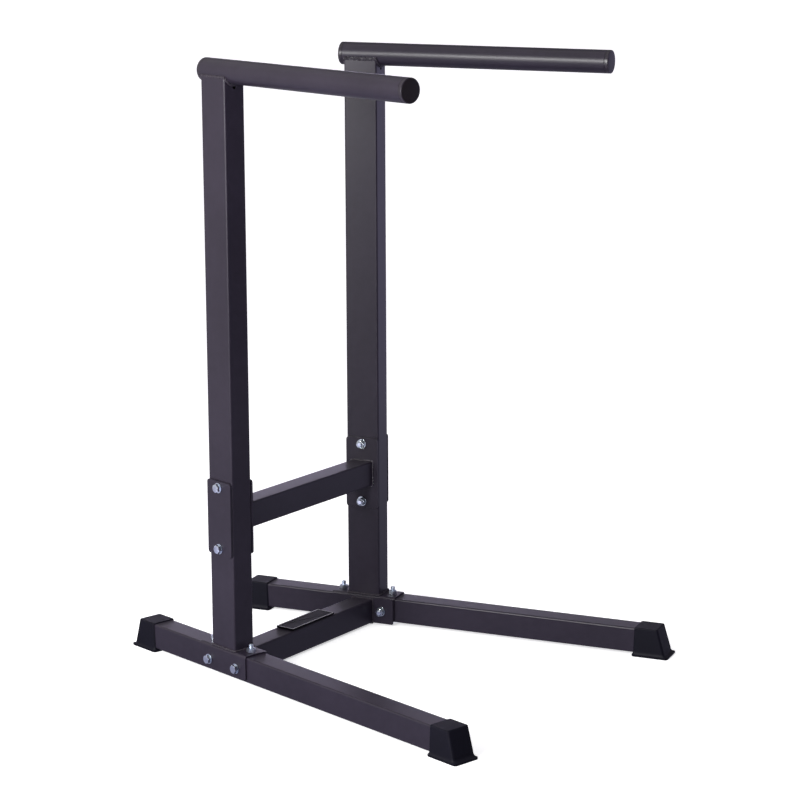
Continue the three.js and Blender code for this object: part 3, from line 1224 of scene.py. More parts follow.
def outline(width: float, height: float, corner: float) -> list[Vector]:
    """The points of a rounded rectangle in x and y.

    Args:
        width: Its size along x.
        height: Its size along y.
        corner: Its corners' radius.

    Returns:
        The points, in order.
    """
    form = Form.sheet(width, height, corner)
    form.mesh.faces.ensure_lookup_table()
    return [vert.co.copy() for vert in form.mesh.faces[0].verts]


# Sub-assemblies


@dataclass
class HalfPart:
    """A sub-assembly of one half of the stand, shaped in that half's own frame."""

    side: Side
    fitter: Fitter

    @property
    def finishes(self) -> Finishes:
        """The finishes to choose from."""
        return self.fitter.finishes

    def named(self, stem: str, *places: Pair) -> str:
        """A name with this half's side and any further places after its stem."""
        return "_".join([stem] + [place.label for place in (self.side, *places)])

    def fit(
        self, node: str, form: Form, slot: Slot, *materials: bpy.types.Material, crease: float = CREASE
    ) -> None:
        """Moves a form to its half of the stand and installs it for its node."""
        form.apply(LAYOUT.half(self.side))
        self.fitter.replace(node, form, slot, *materials, crease=crease)

    def coated(self, node: str, form: Form) -> None:
        """Fits a piece that wears the plain coat."""
        self.fit(node, form, Slot.POWDER_COAT, self.finishes.coat)

    def weld(self, stem: str, form: Form, finish: bpy.types.Material) -> None:
        """Moves a bead to its half of the stand and installs it."""
        form.apply(LAYOUT.half(self.side))
        self.fitter.weld(self.named(stem), form, finish)


@dataclass
class Base(HalfPart):
    """A base rail with a moulded boot on each end."""

    corner: float = 3 * MM
    wall: float = 2 * MM
    boot_wall: float = 1.5 * MM
    boot_end_wall: float = 5 * MM
    boot_sleeve: float = 36 * MM
    boot_slope: float = 12 * MM
    boot_side_draft: float = 0.8 * MM
    boot_mouth_draft: float = 1.5 * MM
    boot_end_lip: float = 7.3 * MM
    boot_side_lip: float = 2.45 * MM
    boot_mouth_lip: float = 2 * MM
    boot_lip_height: float = 10 * MM
    boot_rim_height: float = 3.6 * MM
    boot_rim_round: float = 1.2 * MM
    boot_lip_round: float = 0.6 * MM
    boot_top_round: float = 1.8 * MM
    boot_corner: float = 5.04 * MM
    boot_crease: float = 40.0
    flare_steps: int = 8

    def build(self) -> None:
        """Builds the rail and both boots."""
        self.rail()
        for end in End:
            self.boot(end)

    def rail(self) -> None:
        """The rectangular tube."""
        length = LAYOUT.rail_front + LAYOUT.rail_rear
        form = box_tube(LAYOUT.rail_width, LAYOUT.rail_height, self.corner, self.wall, length)
        form.turn(-90, "X").move(y=-LAYOUT.rail_front, z=LAYOUT.rail_lift + LAYOUT.rail_height / 2)
        self.coated(self.named("base_rail"), form)

    def level(self, draft: float, flare: float) -> tuple[float, float, float]:
        """A boot's size at one height.

        Args:
            draft: The share of its slopes.
            flare: The share of its lip.

        Returns:
            Its reach over the rail, its reach beyond the rail's end, and its half width.
        """
        nose = LAYOUT.seat_gap + self.boot_end_wall
        half = LAYOUT.rail_width / 2 + LAYOUT.seat_gap + self.boot_wall
        back = self.boot_sleeve + self.boot_mouth_draft * draft + self.boot_mouth_lip * flare
        front = nose + self.boot_slope * draft + self.boot_end_lip * flare
        side = half + self.boot_side_draft * draft + self.boot_side_lip * flare
        return back, front, side

    def boot(self, end: End) -> None:
        """One boot: a sleeve with a sloped end and a flared rim on a thick sole.

        Args:
            end: The end of the rail that it closes.
        """
        gap = LAYOUT.seat_gap
        top = LAYOUT.rail_top + gap + self.boot_wall
        levels = []
        for index in range(self.flare_steps + 1):
            angle = math.pi / 2 * index / self.flare_steps
            rise = (self.boot_lip_height - self.boot_rim_height) * (1 - math.cos(angle))
            levels.append((self.boot_rim_height + rise, 1.0, 1 - math.sin(angle)))
        levels.append((top, 0.0, 0.0))

        back, front, side = self.level(1.0, 1.0)
        form, sole = (
            Form.sheet(2 * side, back + front, self.boot_corner, 8).move(y=(front - back) / 2)
            for _ in range(2)
        )
        faces = form.mesh.faces[:]
        before = (back, front, side)
        for height, draft, flare in levels:
            made = bmesh.ops.extrude_face_region(form.mesh, geom=faces)
            verts = made_items(made, bmesh.types.BMVert)
            faces = made_items(made, bmesh.types.BMFace)
            after = self.level(draft, flare)
            middle = (before[1] - before[0]) / 2
            shift = (after[1] - after[0]) / 2
            scale = (after[2] / before[2], (after[0] + after[1]) / (before[0] + before[1]), 1.0)
            space = Matrix.Translation((0, -middle, 0))
            bmesh.ops.scale(form.mesh, vec=scale, space=space, verts=verts)
            lift = height - verts[0].co.z
            bmesh.ops.translate(form.mesh, vec=(0, shift - middle, lift), verts=verts)
            before = after
        form.join(sole).tidy()
        form.round_edges(form.edges_at(0.0, 45), self.boot_rim_round, 3)
        form.round_edges(form.edges_at(top, 45), self.boot_top_round, 5)
        form.round_edges(form.edges_at(self.boot_rim_height, 30), self.boot_lip_round, 3)

        over = 10 * MM
        cavity = Form.sheet(LAYOUT.rail_width + 2 * gap, LAYOUT.rail_height + 2 * gap, self.corner + gap)
        cavity.pull((0, 0, back + over)).turn(90, "X")
        form.carve(cavity.move(y=gap, z=LAYOUT.rail_lift + LAYOUT.rail_height / 2))
        if end is End.FRONT:
            form.turn(180, "Z")
        form.move(y=LAYOUT.rail_rear if end is End.REAR else -LAYOUT.rail_front)
        plastic = self.finishes.foot
        self.fit(self.named("foot_cap", end), form, Slot.FOOT_PLASTIC, plastic, crease=self.boot_crease)


@dataclass
class Upright(HalfPart):
    """A post welded on its saddle bracket, with the bead round its foot."""

    corner: float = 3 * MM
    wall: float = 2 * MM
    vent: float = 6 * MM
    vent_drop: float = 23.5 * MM
    overhang: float = 30 * MM
    flange: float = 42 * MM
    bend: float = 2.4 * MM
    flange_corner: float = 4 * MM
    edge: float = 0.45 * MM
    drill_reach: float = 60 * MM
    weld_radius: float = 2.0 * MM
    weld_gap: float = 0.7 * MM
    weld_lift: float = 0.5 * MM

    def build(self) -> None:
        """Builds the saddle, the post and the weld between them."""
        self.saddle()
        self.post()
        self.foot_weld()

    def saddle(self) -> None:
        """The folded channel over the rail."""
        inner = LAYOUT.rail_width / 2 + LAYOUT.seat_gap
        seat = LAYOUT.rail_top + LAYOUT.seat_gap
        foot = LAYOUT.saddle_top - self.flange
        length = LAYOUT.post_depth + 2 * self.overhang
        chain = [(-inner, 0, foot), (-inner, 0, seat), (inner, 0, seat), (inner, 0, foot)]
        form = Form.line(chain).move(y=-length / 2).draw((0, length, 0))
        folds = [edge for edge in form.mesh.edges if len(edge.link_faces) == 2]
        form.round_edges(folds, self.bend, 6)
        corners = [vert for vert in form.mesh.verts if abs(vert.co.z - foot) < TOUCH]
        form.round_points(corners, self.flange_corner, 6)
        form.tidy().wall(LAYOUT.saddle_thickness, outward=True)
        form.round_edges(form.sharp_edges(), self.edge, 2)
        for end in End:
            across = bar(LAYOUT.bolt_hole, "X", -self.drill_reach, self.drill_reach)
            across.move(y=end.value * LAYOUT.side_bolt_pitch / 2, z=LAYOUT.side_bolt_level)
            down = bar(LAYOUT.bolt_hole, "Z", seat - 5 * MM, seat + 10 * MM)
            form.carve(across, down.move(y=end.value * LAYOUT.top_bolt_pitch / 2))
        self.coated(self.named("saddle_bracket"), form)

    def post(self) -> None:
        """The rectangular tube, coped for the handle bar, with its vent hole and bolt holes."""
        foot = LAYOUT.saddle_top + LAYOUT.seat_gap
        top = LAYOUT.handle_height - LAYOUT.cope_drop
        form = box_tube(LAYOUT.post_width, LAYOUT.post_depth, self.corner, self.wall, top - foot)
        form.move(z=foot)
        reach = self.drill_reach
        cope = bar(LAYOUT.handle_diameter / 2 + LAYOUT.seat_gap, "Y", -reach, reach, 96)
        vent = bar(self.vent / 2, "Y", -reach, 0).move(z=LAYOUT.handle_height - self.vent_drop)
        # The vent's faces take the near-black painted shade of the hole's inside.
        for face in vent.mesh.faces:
            face.material_index = 1
        form.carve(cope.move(z=LAYOUT.handle_height), vent)
        for tier in Tier:
            across = bar(LAYOUT.bolt_hole, "X", -reach, reach)
            form.carve(across.move(z=LAYOUT.upper_cross_level + tier.value * LAYOUT.clamp_bolt_pitch / 2))
        materials = (self.finishes.coat, self.finishes.bore)
        self.fit(self.named("post"), form, Slot.POWDER_COAT, *materials)

    def foot_weld(self) -> None:
        """The bead round the post's foot."""
        grow = 2 * self.weld_gap
        path = outline(LAYOUT.post_width + grow, LAYOUT.post_depth + grow, self.corner)
        level = Vector((0, 0, LAYOUT.saddle_top + self.weld_lift))
        form = Weld(radius=self.weld_radius).bead([point + level for point in path], True)
        self.weld("post_foot_weld", form, self.finishes.even_weld)


@dataclass
class Handle(HalfPart):
    """A handle bar in the post's cope, with its welds and its two caps."""

    wall: float = 2 * MM
    front: float = 433.5 * MM
    rear: float = 34.7 * MM
    edge: float = 0.5 * MM
    head: float = 7 * MM
    head_round: float = 1.3 * MM
    head_edge: float = 0.25 * MM
    face_share: float = 0.90
    groove: float = 0.5 * MM
    dome: float = 0.5 * MM
    plug_length: float = 18 * MM
    plug_wall: float = 2.2 * MM
    plug_chamfer: float = 0.6 * MM
    rib: float = 1.2 * MM
    rib_pitch: float = 6 * MM
    rib_ramp: float = 1.6 * MM
    rib_land: float = 0.3 * MM
    ribs: int = 2
    side_weld: float = 3.0 * MM
    rough_weld: float = 3.4 * MM
    rough_lift: float = 0.8 * MM
    thin_weld: float = 2.5 * MM
    dressed_sink: float = 0.8 * MM
    thin_inset: float = 2.0 * MM
    weld_inset: float = 1.8 * MM
    weld_lift: float = 0.5 * MM
    weld_gap: float = 0.3 * MM

    def build(self) -> None:
        """Builds the bar, its caps and its welds."""
        self.tube()
        for end in End:
            self.cap(end)
        self.welds()

    def tube(self) -> None:
        """The round tube."""
        radius = LAYOUT.handle_diameter / 2
        inner = radius - self.wall
        soft = self.edge
        profile = [
            (inner, -self.front),
            (radius - soft, -self.front),
            (radius - soft * 0.3, -self.front + soft * 0.3),
            (radius, -self.front + soft),
            (radius, self.rear - soft),
            (radius - soft * 0.3, self.rear - soft * 0.3),
            (radius - soft, self.rear),
            (inner, self.rear),
        ]
        form = Form.turned(profile, 96).turn(-90, "X").move(z=LAYOUT.handle_height)
        self.coated(self.named("handle_bar"), form)

    def cap(self, end: End) -> None:
        """One cap: a collar as wide as the bar, a narrow groove and a flat face, on a ribbed plug.

        Args:
            end: The end of the bar that it closes.
        """
        gap = LAYOUT.seat_gap
        outer = LAYOUT.handle_diameter / 2
        plug = outer - self.wall - gap
        core = plug - self.rib
        top = gap + self.head - self.dome
        foot = -self.plug_length
        profile = [(0.0, gap), (core - self.plug_wall, gap), (core - self.plug_wall, foot)]
        profile += [(core - self.plug_chamfer, foot), (core, foot + self.plug_chamfer)]
        for index in range(self.ribs, 0, -1):
            rib = -index * self.rib_pitch
            profile += [(core, rib - self.rib_ramp), (plug, rib - self.rib_land), (plug, rib), (core, rib)]
        profile += [(core, gap), (outer - self.head_edge, gap), (outer, gap + self.head_edge)]
        radius = self.head_round
        for angle in [math.pi / 2 * step / 5 for step in range(6)]:
            place = (outer - radius + radius * math.cos(angle), top - radius + radius * math.sin(angle))
            profile.append(place)
        face = outer * self.face_share
        profile += [
            (face + self.groove * 0.5, top),
            (face + self.groove * 0.25, top - self.groove),
            (face - self.groove * 0.25, top - self.groove),
            (face - self.groove * 0.6, top + 0.05 * MM),
        ]
        for angle in [math.pi / 2 * step / 8 for step in range(3, 8)]:
            profile.append((face * math.cos(angle), top + self.dome * math.sin(angle)))
        profile.append((0.0, top + self.dome))
        form = Form.turned(profile, 96)
        for ring in form.mesh.faces:
            middle = ring.calc_center_median()
            if middle.z > gap and math.hypot(middle.x, middle.y) > face + self.groove * 0.4:
                ring.material_index = 1
        if end is End.FRONT:
            form.turn(90, "X").move(y=-self.front, z=LAYOUT.handle_height)
        else:
            form.turn(-90, "X").move(y=self.rear, z=LAYOUT.handle_height)
        materials = (self.finishes.cap, self.finishes.collar)
        self.fit(self.named("handle_cap", end), form, Slot.CAP_PLASTIC, *materials)

    def welds(self) -> None:
        """The beads round the cope: rough inside, dressed outside, thin at the front and the rear."""
        radius = LAYOUT.handle_diameter / 2 + self.weld_lift
        half_depth = LAYOUT.post_depth / 2 + self.weld_gap
        start = math.asin((LAYOUT.post_width / 2 - self.thin_inset) / radius)
        count = 24
        angles = [-start + 2 * start * index / count for index in range(count + 1)]
        even = Form()
        thin = Weld(radius=self.thin_weld, ripple_depth=0.05, lump=0.2 * MM)
        for end in End:
            path = [
                Vector((
                    radius * math.sin(angle),
                    end.value * half_depth,
                    LAYOUT.handle_height - radius * math.cos(angle),
                ))
                for angle in angles
            ]
            even.join(thin.bead(path, False))
        level = LAYOUT.handle_height - LAYOUT.cope_drop
        out = self.side.value
        reach = LAYOUT.post_width / 2 - self.weld_inset
        dressed = Weld(radius=self.side_weld, ripple_depth=0.02, wander=0.1 * MM, lump=0.1 * MM)
        sunk = out * (reach - self.dressed_sink)
        even.join(dressed.bead([Vector((sunk, end.value * half_depth, level)) for end in End], False))
        heavy = Weld(radius=self.rough_weld, ripple_depth=0.16, lump=0.6 * MM)
        raised = level + self.rough_lift
        rough = heavy.bead([Vector((-out * reach, end.value * half_depth, raised)) for end in End], False)
        self.weld("handle_even_weld", even, self.finishes.even_weld)
        self.weld("handle_rough_weld", rough, self.finishes.rough_weld)


@dataclass
class Joint(HalfPart):
    """The plates and bolts that hold the cross tubes to one half."""

    bolts: Fasteners
    clamp_height: float = 125 * MM
    clamp_corner: float = 5 * MM
    lower_length: float = 117 * MM
    lower_height: float = 46.3 * MM
    lower_corner: float = 2.5 * MM
    bolt_end: float = 3 * MM
    top_bolt_end: float = 7 * MM
    hidden_thread: float = 1 * MM
    edge: float = 0.5 * MM
    clamp_spin: Span = (8.0, 17.0)
    side_spin: Span = (4.0, 13.0)
    top_spin: Span = (15.0, 21.0)
    nut_spin: Span = (37.0, 1.7)

    @property
    def nut_stack(self) -> float:
        """How far a bolt passes through its washer and nut."""
        return LAYOUT.seat_gap + self.bolts.washer_thickness + self.bolts.nut_height

    @property
    def head_stack(self) -> float:
        """How far a bolt's head is seated off the plate."""
        return 2 * LAYOUT.seat_gap + self.bolts.washer_thickness

    def build(self) -> None:
        """Builds the plates and all the bolts of this half."""
        self.plates()
        self.clamp_bolts()
        self.side_bolts()
        self.top_bolts()

    def plate(self, length: float, height: float, corner: float, holes: list[tuple[float, float]]) -> Form:
        """A plate from x = 0 to its thickness, centred in y and z.

        Args:
            length: Its size along y.
            height: Its size along z.
            corner: Its corners' radius.
            holes: The places of its bolt holes.

        Returns:
            The closed form.
        """
        form = Form.sheet(height, length, corner, 7).pull((0, 0, LAYOUT.plate_thickness))
        form.round_edges(form.sharp_edges(), self.edge, 2)
        form.turn(90, "Y").tidy()
        over = 5 * MM
        drills = [bar(LAYOUT.bolt_hole, "X", -over, 2 * over).move(y=y, z=z) for y, z in holes]
        return form.carve(*drills)

    def plates(self) -> None:
        """The clamp plate outside the post, and the end plates inside it and inside the saddle."""
        out = self.side.value
        middle = LAYOUT.cross_lift + self.lower_height / 2
        drop = LAYOUT.side_bolt_level - LAYOUT.cross_lift - self.lower_height / 2
        high_holes = [(0.0, tier.value * LAYOUT.clamp_bolt_pitch / 2) for tier in Tier]
        low_holes = [(end.value * LAYOUT.side_bolt_pitch / 2, drop) for end in End]
        upper = (LAYOUT.post_depth, self.clamp_height, self.clamp_corner, high_holes)
        lower = (self.lower_length, self.lower_height, self.lower_corner, low_holes)
        beside_post = LAYOUT.post_width / 2 + LAYOUT.seat_gap
        beside_saddle = LAYOUT.saddle_outer + LAYOUT.seat_gap
        jobs = [
            ("clamp_plate", upper, out, beside_post, LAYOUT.upper_cross_level),
            ("upper_end_plate", upper, -out, beside_post, LAYOUT.upper_cross_level),
            ("lower_end_plate", lower, -out, beside_saddle, middle),
        ]
        for stem, shape, direction, distance, level in jobs:
            form = self.plate(*shape)
            if direction < 0:
                form.turn(180, "Z")
            self.coated(self.named(stem), form.move(x=direction * distance, z=level))

    def across(
        self, name: str, y: float, z: float, washer_face: float, nut_face: float, spin: float
    ) -> None:
        """A bolt along x, its head and washer outside, its nut inside.

        Args:
            name: The stem of the nodes' names.
            y: Its place along the rail.
            z: Its height.
            washer_face: The face outside, measured from the post's axis.
            nut_face: The face inside.
            spin: How far the head is turned, in degrees.
        """
        out = self.side.value
        length = self.head_stack + washer_face + nut_face + self.nut_stack + self.bolt_end
        bolt = self.bolts.hex_bolt(length, self.bolt_end + self.hidden_thread)
        bright = self.finishes.zinc
        # The inner nut wears the darker copy of the zinc: painted shade.
        painted_shade = self.finishes.dull_zinc
        base, share = self.nut_spin
        parts = [
            ("bolt", bolt, bright, washer_face + self.head_stack, 1, spin),
            ("washer", self.bolts.washer(), bright, washer_face + LAYOUT.seat_gap, 1, 0.0),
            ("nut", self.bolts.nut(), painted_shade, nut_face + LAYOUT.seat_gap, -1, spin * share + base),
        ]
        for label, form, finish, distance, direction, angle in parts:
            form.turn(angle, "Z").turn(90 * out * direction, "Y")
            form.move(x=out * direction * distance, y=y, z=z)
            self.fit(f"{name}_{label}", form, Slot.ZINC, finish)

    def clamp_bolts(self) -> None:
        """Two bolts through the clamp plate, the post and the end plate."""
        for tier in Tier:
            z = LAYOUT.upper_cross_level + tier.value * LAYOUT.clamp_bolt_pitch / 2
            spin = tier.vary(*self.clamp_spin)
            self.across(self.named("clamp", tier), 0.0, z, LAYOUT.clamp_outer, LAYOUT.clamp_outer, spin)

    def side_bolts(self) -> None:
        """Two bolts through the saddle, the rail and the lower end plate."""
        faces = (LAYOUT.saddle_outer, LAYOUT.lower_plate_outer)
        for end in End:
            y = end.value * LAYOUT.side_bolt_pitch / 2
            spin = end.vary(*self.side_spin)
            self.across(self.named("side", end), y, LAYOUT.side_bolt_level, *faces, spin)

    def top_bolts(self) -> None:
        """Two carriage bolts up through the rail and the saddle, with a nut on top."""
        satin = self.finishes.satin_zinc
        stack = LAYOUT.seat_gap + self.bolts.nut_height
        length = LAYOUT.seat_gap + LAYOUT.saddle_top - LAYOUT.rail_lift + stack + self.top_bolt_end
        for end in End:
            name = self.named("top", end)
            y = end.value * LAYOUT.top_bolt_pitch / 2
            bolt = self.bolts.carriage_bolt(length, self.top_bolt_end + self.hidden_thread).turn(180, "X")
            bolt.move(y=y, z=LAYOUT.rail_lift - LAYOUT.seat_gap)
            self.fit(f"{name}_bolt", bolt, Slot.ZINC, satin)
            nut = self.bolts.plain_nut().turn(end.vary(*self.top_spin), "Z")
            nut.move(y=y, z=LAYOUT.saddle_top + LAYOUT.seat_gap)
            self.fit(f"{name}_nut", nut, Slot.ZINC, satin)


@dataclass
class CrossTube:
    """A cross tube, mitred against its end plates and welded to them."""

    name: str
    fitter: Fitter
    face: float
    level: float
    bead_radius: float
    weld_finish: bpy.types.Material
    width: float = 40 * MM
    corner: float = 3 * MM
    wall: float = 2 * MM
    weld_gap: float = 0.6 * MM
    weld_offset: float = 0.5 * MM

    @property
    def line(self) -> float:
        """The y of the tube's own axis."""
        return LAYOUT.post_line - self.face * math.sin(LAYOUT.splay)

    def build(self) -> None:
        """Builds the tube and the bead at each end."""
        self.tube()
        for side in Side:
            self.weld(side)

    def tube(self) -> None:
        """The tube, cut along the plates' faces."""
        length = LAYOUT.post_spacing
        form = Form.sheet(LAYOUT.cross_height, self.width, self.corner).hollow().draw((0, 0, length))
        form.move(z=-length / 2).turn(90, "Y").move(y=self.line, z=self.level).tidy()
        for side in Side:
            half = LAYOUT.half(side)
            point = half @ Vector((-side.value * (self.face + LAYOUT.seat_gap), 0, 0))
            form.trim(point, half.to_3x3() @ Vector((side.value, 0, 0)))
        form.wall(self.wall)
        self.fitter.replace(self.name, form, Slot.POWDER_COAT, self.fitter.finishes.coat)

    def weld(self, side: Side) -> None:
        """The bead between the tube and one end plate.

        Args:
            side: The half whose plate it is on.
        """
        half = LAYOUT.half(side)
        point = half @ Vector((-side.value * (self.face + self.weld_offset), 0, 0))
        normal = half.to_3x3() @ Vector((-side.value, 0, 0))
        path = []
        grow = 2 * self.weld_gap
        for corner in outline(self.width + grow, LAYOUT.cross_height + grow, self.corner):
            y = self.line + corner.x
            x = point.x - (y - point.y) * normal.y / normal.x
            path.append(Vector((x, y, self.level + corner.y)))
        form = Weld(radius=self.bead_radius).bead(path, True)
        self.fitter.weld(f"{self.name}_weld_{side.label}", form, self.weld_finish)


@dataclass
class Badge:
    """A blank plate on the lower cross tube, with a narrow pale border."""

    fitter: Fitter
    length: float = 117 * MM
    width: float = 37 * MM
    thickness: float = 3.5 * MM
    corner: float = 2.5 * MM
    edge: float = 0.7 * MM
    margin: float = 0.8 * MM
    border: float = 1.1 * MM
    recess: float = 0.3 * MM
    recess_slope: float = 0.15 * MM

    def build(self) -> None:
        """Builds the plate."""
        line = LAYOUT.post_line - LAYOUT.lower_plate_outer * math.sin(LAYOUT.splay)
        seat = LAYOUT.cross_lift + LAYOUT.cross_height + LAYOUT.seat_gap
        form = Form.sheet(self.length, self.width, self.corner).pull((0, 0, self.thickness))
        form.round_edges(form.sharp_edges(), self.edge, 3)
        form.mesh.normal_update()
        top = [face for face in form.mesh.faces if face.calc_center_median().z > self.thickness - NEAR]
        rings = [(self.margin, 0.0, 0), (self.border, 0.0, 1), (self.recess_slope, -self.recess, 0)]
        for width, depth, index in rings:
            made = bmesh.ops.inset_region(
                form.mesh, faces=top, thickness=width, use_even_offset=True, depth=depth
            )
            for face in made["faces"]:
                face.material_index = index
        form.move(y=line, z=seat)
        finishes = self.fitter.finishes
        self.fitter.replace("badge_plate", form, Slot.BADGE, finishes.badge, finishes.border)


# Studio


@dataclass(frozen=True)
class Softbox:
    """A rectangular area light that looks at a point."""

    name: str
    place: tuple[float, float, float]
    target: tuple[float, float, float]
    power: float
    width: float = 1.2
    height: float = 0.8

    def build(self) -> None:
        """Builds the light."""
        light = bpy.data.lights.new(self.name, "AREA")
        light.shape = "RECTANGLE"
        light.size = self.width
        light.size_y = self.height
        light.energy = self.power
        lamp = bpy.data.objects.new(self.name, light)
        aim = Vector(self.target) - Vector(self.place)
        lamp.location = self.place
        lamp.rotation_euler = aim.to_track_quat("-Z", "Y").to_euler()
        bpy.context.scene.collection.objects.link(lamp)


@dataclass(frozen=True)
class Lobe:
    """A part of the room round one compass bearing, with a soft edge."""

    bearing: float
    low: float
    high: float

    def share(self, tree: FinishTree, ray: Signal) -> Signal:
        """How far a direction lies in the lobe.

        Args:
            tree: The tree that it is worked out in.
            ray: The direction, of length 1.

        Returns:
            0 where the cosine of the angle to the bearing is below low, up to 1 where it is above high.
        """
        angle = math.radians(self.bearing)
        values = {0: ray, 1: (math.cos(angle), math.sin(angle), 0.0)}
        cosine = tree.out(tree.node("ShaderNodeVectorMath", {"operation": "DOT_PRODUCT"}, values), 1)
        return tree.spread(cosine, self.low, self.high)


@dataclass
class Studio:
    """The pale floor, the soft light and the camera."""

    finishes: Finishes
    floor_reach: float = 60.0
    wall_distance: float = 40.0
    wall_height: float = 25.0
    camera_place: tuple[float, float, float] = (-3.33339, -2.43231, 1.37045)
    yaw: float = -54.59
    pitch: float = -12.64
    roll: float = -0.21
    lens: float = 114.12
    sensor: float = 36.0
    clip: Span = (0.1, 500.0)
    room: Colour = (0.09, 0.085, 0.11)
    sweep: Colour = (0.77, 0.745, 0.75)
    far_sweep: Colour = (8.7, 7.9, 11.0)
    cool_side: Colour = (0.76, 0.70, 1.06)
    shaded_ground: Colour = (0.30, 0.295, 0.40)
    dim_ground: Colour = (0.36, 0.35, 0.46)
    pale_ground: Colour = (0.98, 0.95, 1.20)
    front_ground: Colour = (6.0, 5.9, 6.5)
    ground_fall: float = 0.28
    sweep_lobe: Lobe = Lobe(80.0, -0.55, 0.3)
    tall_lobe: Lobe = Lobe(105.0, 0.35, 0.75)
    far_lobe: Lobe = Lobe(58.0, 0.83, 0.95)
    cool_lobe: Lobe = Lobe(-18.0, 0.75, 0.95)
    pale_lobe: Lobe = Lobe(172.0, 0.5, 0.95)
    front_lobe: Lobe = Lobe(196.0, 0.83, 0.95)
    lowered_rise: Span = (0.02, 0.2)
    lowered_share: float = 0.85
    cool_rise: Span = (0.1, 0.3)
    strip_rise: Span = (0.0, 0.02)
    strip_fall: Span = (0.05, 0.155)
    near_ring: Span = (0.3, 0.8)
    far_ring: Span = (1.1, 2.4)
    front_ring: Span = (2.9, 4.3)
    ground_reach: float = 9.0
    ground_drop: float = 0.002
    sun_strength: float = 1.1
    sun_angle: float = 90.0
    sun_tilt: Span = (8.0, -10.0)

    def build(self) -> None:
        """Builds the whole studio."""
        self.floor()
        self.wall()
        self.ground_glow()
        self.lights()
        self.camera()

    def sheet(self, name: str, form: Form, material: bpy.types.Material, *blind: str) -> None:
        """Stages one of the studio's own sheets.

        Args:
            name: Its name.
            form: Its form.
            material: Its material.
            blind: The kinds of rays that don't see it.
        """
        sheet = form.as_object(name)
        sheet.data.materials.append(material)
        for ray in blind:
            setattr(sheet, f"visible_{ray}", False)

    def floor(self) -> None:
        """The floor, far enough to fill the view."""
        form = Form.sheet(2 * self.floor_reach, 2 * self.floor_reach)
        self.sheet("studio_floor", form, self.finishes.floor, "diffuse", "glossy")

    def wall(self) -> None:
        """The round wall behind the floor, which only the camera sees."""
        form = Form.ring(self.wall_distance, 96).draw((0, 0, self.wall_height))
        self.sheet("studio_wall", form, self.finishes.wall, "diffuse", "glossy", "shadow")

    def lights(self) -> None:
        """Soft light from above, a softbox on the left, and the room's own light."""
        self.surroundings()
        bpy.context.scene.view_settings.view_transform = "Standard"

        sun = bpy.data.lights.new("overhead", "SUN")
        sun.energy = self.sun_strength
        sun.angle = math.radians(self.sun_angle)
        lamp = bpy.data.objects.new("overhead", sun)
        lamp.rotation_euler = (*(math.radians(angle) for angle in self.sun_tilt), 0)
        bpy.context.scene.collection.objects.link(lamp)

        Softbox("left_softbox", place=(-2.70, 0.16, 1.36), target=(0.10, 0.12, 1.0), power=114.0).build()

    def bearing_light(self, tree: FinishTree, ray: Signal) -> Signal:
        """The light that comes from a direction: a white sweep behind the stand, a dim room before it.

        Args:
            tree: The tree that the light is worked out in.
            ray: The direction, of length 1.

        Returns:
            The light's colour.
        """
        height = tree.out(tree.node("ShaderNodeSeparateXYZ", values={0: ray}), 2)
        lowered = tree.spread(height, *self.lowered_rise) * (1.0 - self.tall_lobe.share(tree, ray))
        broad = self.sweep_lobe.share(tree, ray) * (1.0 - lowered * self.lowered_share)
        wall = tree.blend(broad, self.room, self.sweep)
        cool = self.cool_lobe.share(tree, ray) * (1.0 - tree.spread(height, *self.cool_rise))
        wall = tree.blend(cool, wall, self.cool_side)
        low = tree.spread(height, *self.strip_rise) * (1.0 - tree.spread(height, *self.strip_fall))
        return tree.blend(self.far_lobe.share(tree, ray) * low, wall, self.far_sweep)

    def surroundings(self) -> None:
        """The room round the stand."""
        world = bpy.data.worlds.new("studio_room")
        tree = FinishTree(world)
        ray = tree.out(tree.node("ShaderNodeTexCoord"), "Generated")
        light = self.bearing_light(tree, ray)
        sky = tree.node("ShaderNodeBackground", values={"Color": light, "Strength": 1.0})
        tree.node("ShaderNodeOutputWorld", values={"Surface": tree.out(sky, 0)})
        bpy.context.scene.world = world

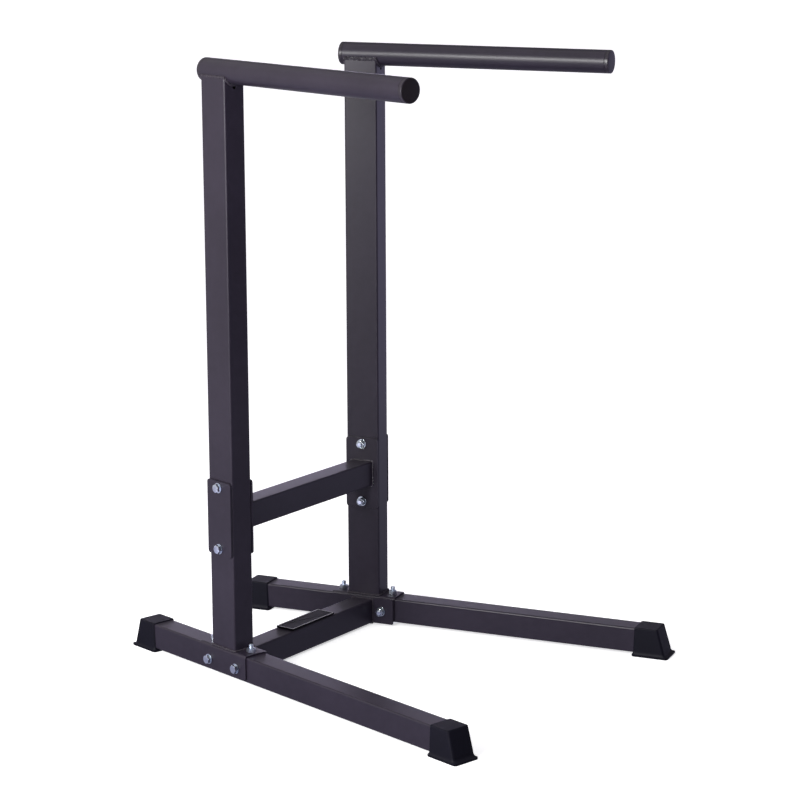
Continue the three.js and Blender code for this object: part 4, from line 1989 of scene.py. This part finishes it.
    def ground_glow(self) -> None:
        """The light that comes back from the ground: even near the stand, like the room's further off."""
        tree = FinishTree.material("ground_glow")
        place = tree.place()
        length = tree.out(tree.node("ShaderNodeVectorMath", {"operation": "LENGTH"}, {0: place}), 1)
        ray = tree.out(tree.node("ShaderNodeVectorMath", {"operation": "NORMALIZE"}, {0: place}), 0)
        far = tree.blend(self.ground_fall, self.bearing_light(tree, ray), self.shaded_ground)
        near = tree.blend(self.pale_lobe.share(tree, ray), self.dim_ground, self.pale_ground)
        near = tree.blend(tree.spread(length, *self.near_ring), self.shaded_ground, near)
        light = tree.blend(tree.spread(length, *self.far_ring), near, far)
        front = self.front_lobe.share(tree, ray) * tree.spread(length, *self.front_ring)
        light = tree.blend(front, light, self.front_ground)
        glow = tree.node("ShaderNodeEmission", values={"Color": light, "Strength": 1.0})
        tree.node("ShaderNodeOutputMaterial", values={"Surface": tree.out(glow, 0)})
        form = Form.ring(self.ground_reach, 64, filled=True).move(z=-self.ground_drop)
        self.sheet("ground_glow", form, tree.owner, "camera", "shadow")

    def camera(self) -> None:
        """The camera, at the photograph's place."""
        yaw, pitch, roll = (math.radians(value) for value in (self.yaw, self.pitch, self.roll))
        ahead = Vector((-math.sin(yaw) * math.cos(pitch), math.cos(yaw) * math.cos(pitch), math.sin(pitch)))
        level = Vector((math.cos(yaw), math.sin(yaw), 0))
        above = level.cross(ahead)
        across = math.cos(roll) * level + math.sin(roll) * above
        upright = -math.sin(roll) * level + math.cos(roll) * above
        data = bpy.data.cameras.new("camera")
        data.sensor_width = self.sensor
        data.lens = self.lens
        data.clip_start, data.clip_end = self.clip
        camera = bpy.data.objects.new("camera", data)
        turn = Matrix((across, upright, -ahead)).transposed().to_4x4()
        camera.matrix_world = Matrix.Translation(self.camera_place) @ turn
        bpy.context.scene.collection.objects.link(camera)
        bpy.context.scene.camera = camera


def main() -> None:
    """Builds the studio and then the stand, sub-assembly by sub-assembly."""
    logging.basicConfig(level=logging.INFO, format="%(name)s: %(message)s")
    noise.seed_set(BEAD_SEED)
    finishes = Finishes()
    fitter = Fitter(finishes)
    bolts = Fasteners()
    Studio(finishes).build()
    for side in Side:
        Base(side, fitter).build()
        Upright(side, fitter).build()
        Handle(side, fitter).build()
        Joint(side, fitter, bolts).build()
    upper = (LAYOUT.clamp_outer, LAYOUT.upper_cross_level)
    lower = (LAYOUT.lower_plate_outer, LAYOUT.cross_lift + LAYOUT.cross_height / 2)
    CrossTube("upper_cross_tube", fitter, *upper, 1.6 * MM, finishes.rough_weld).build()
    CrossTube("lower_cross_tube", fitter, *lower, 1.2 * MM, finishes.even_weld).build()
    Badge(fitter).build()


if __name__ == "__main__":
    main()
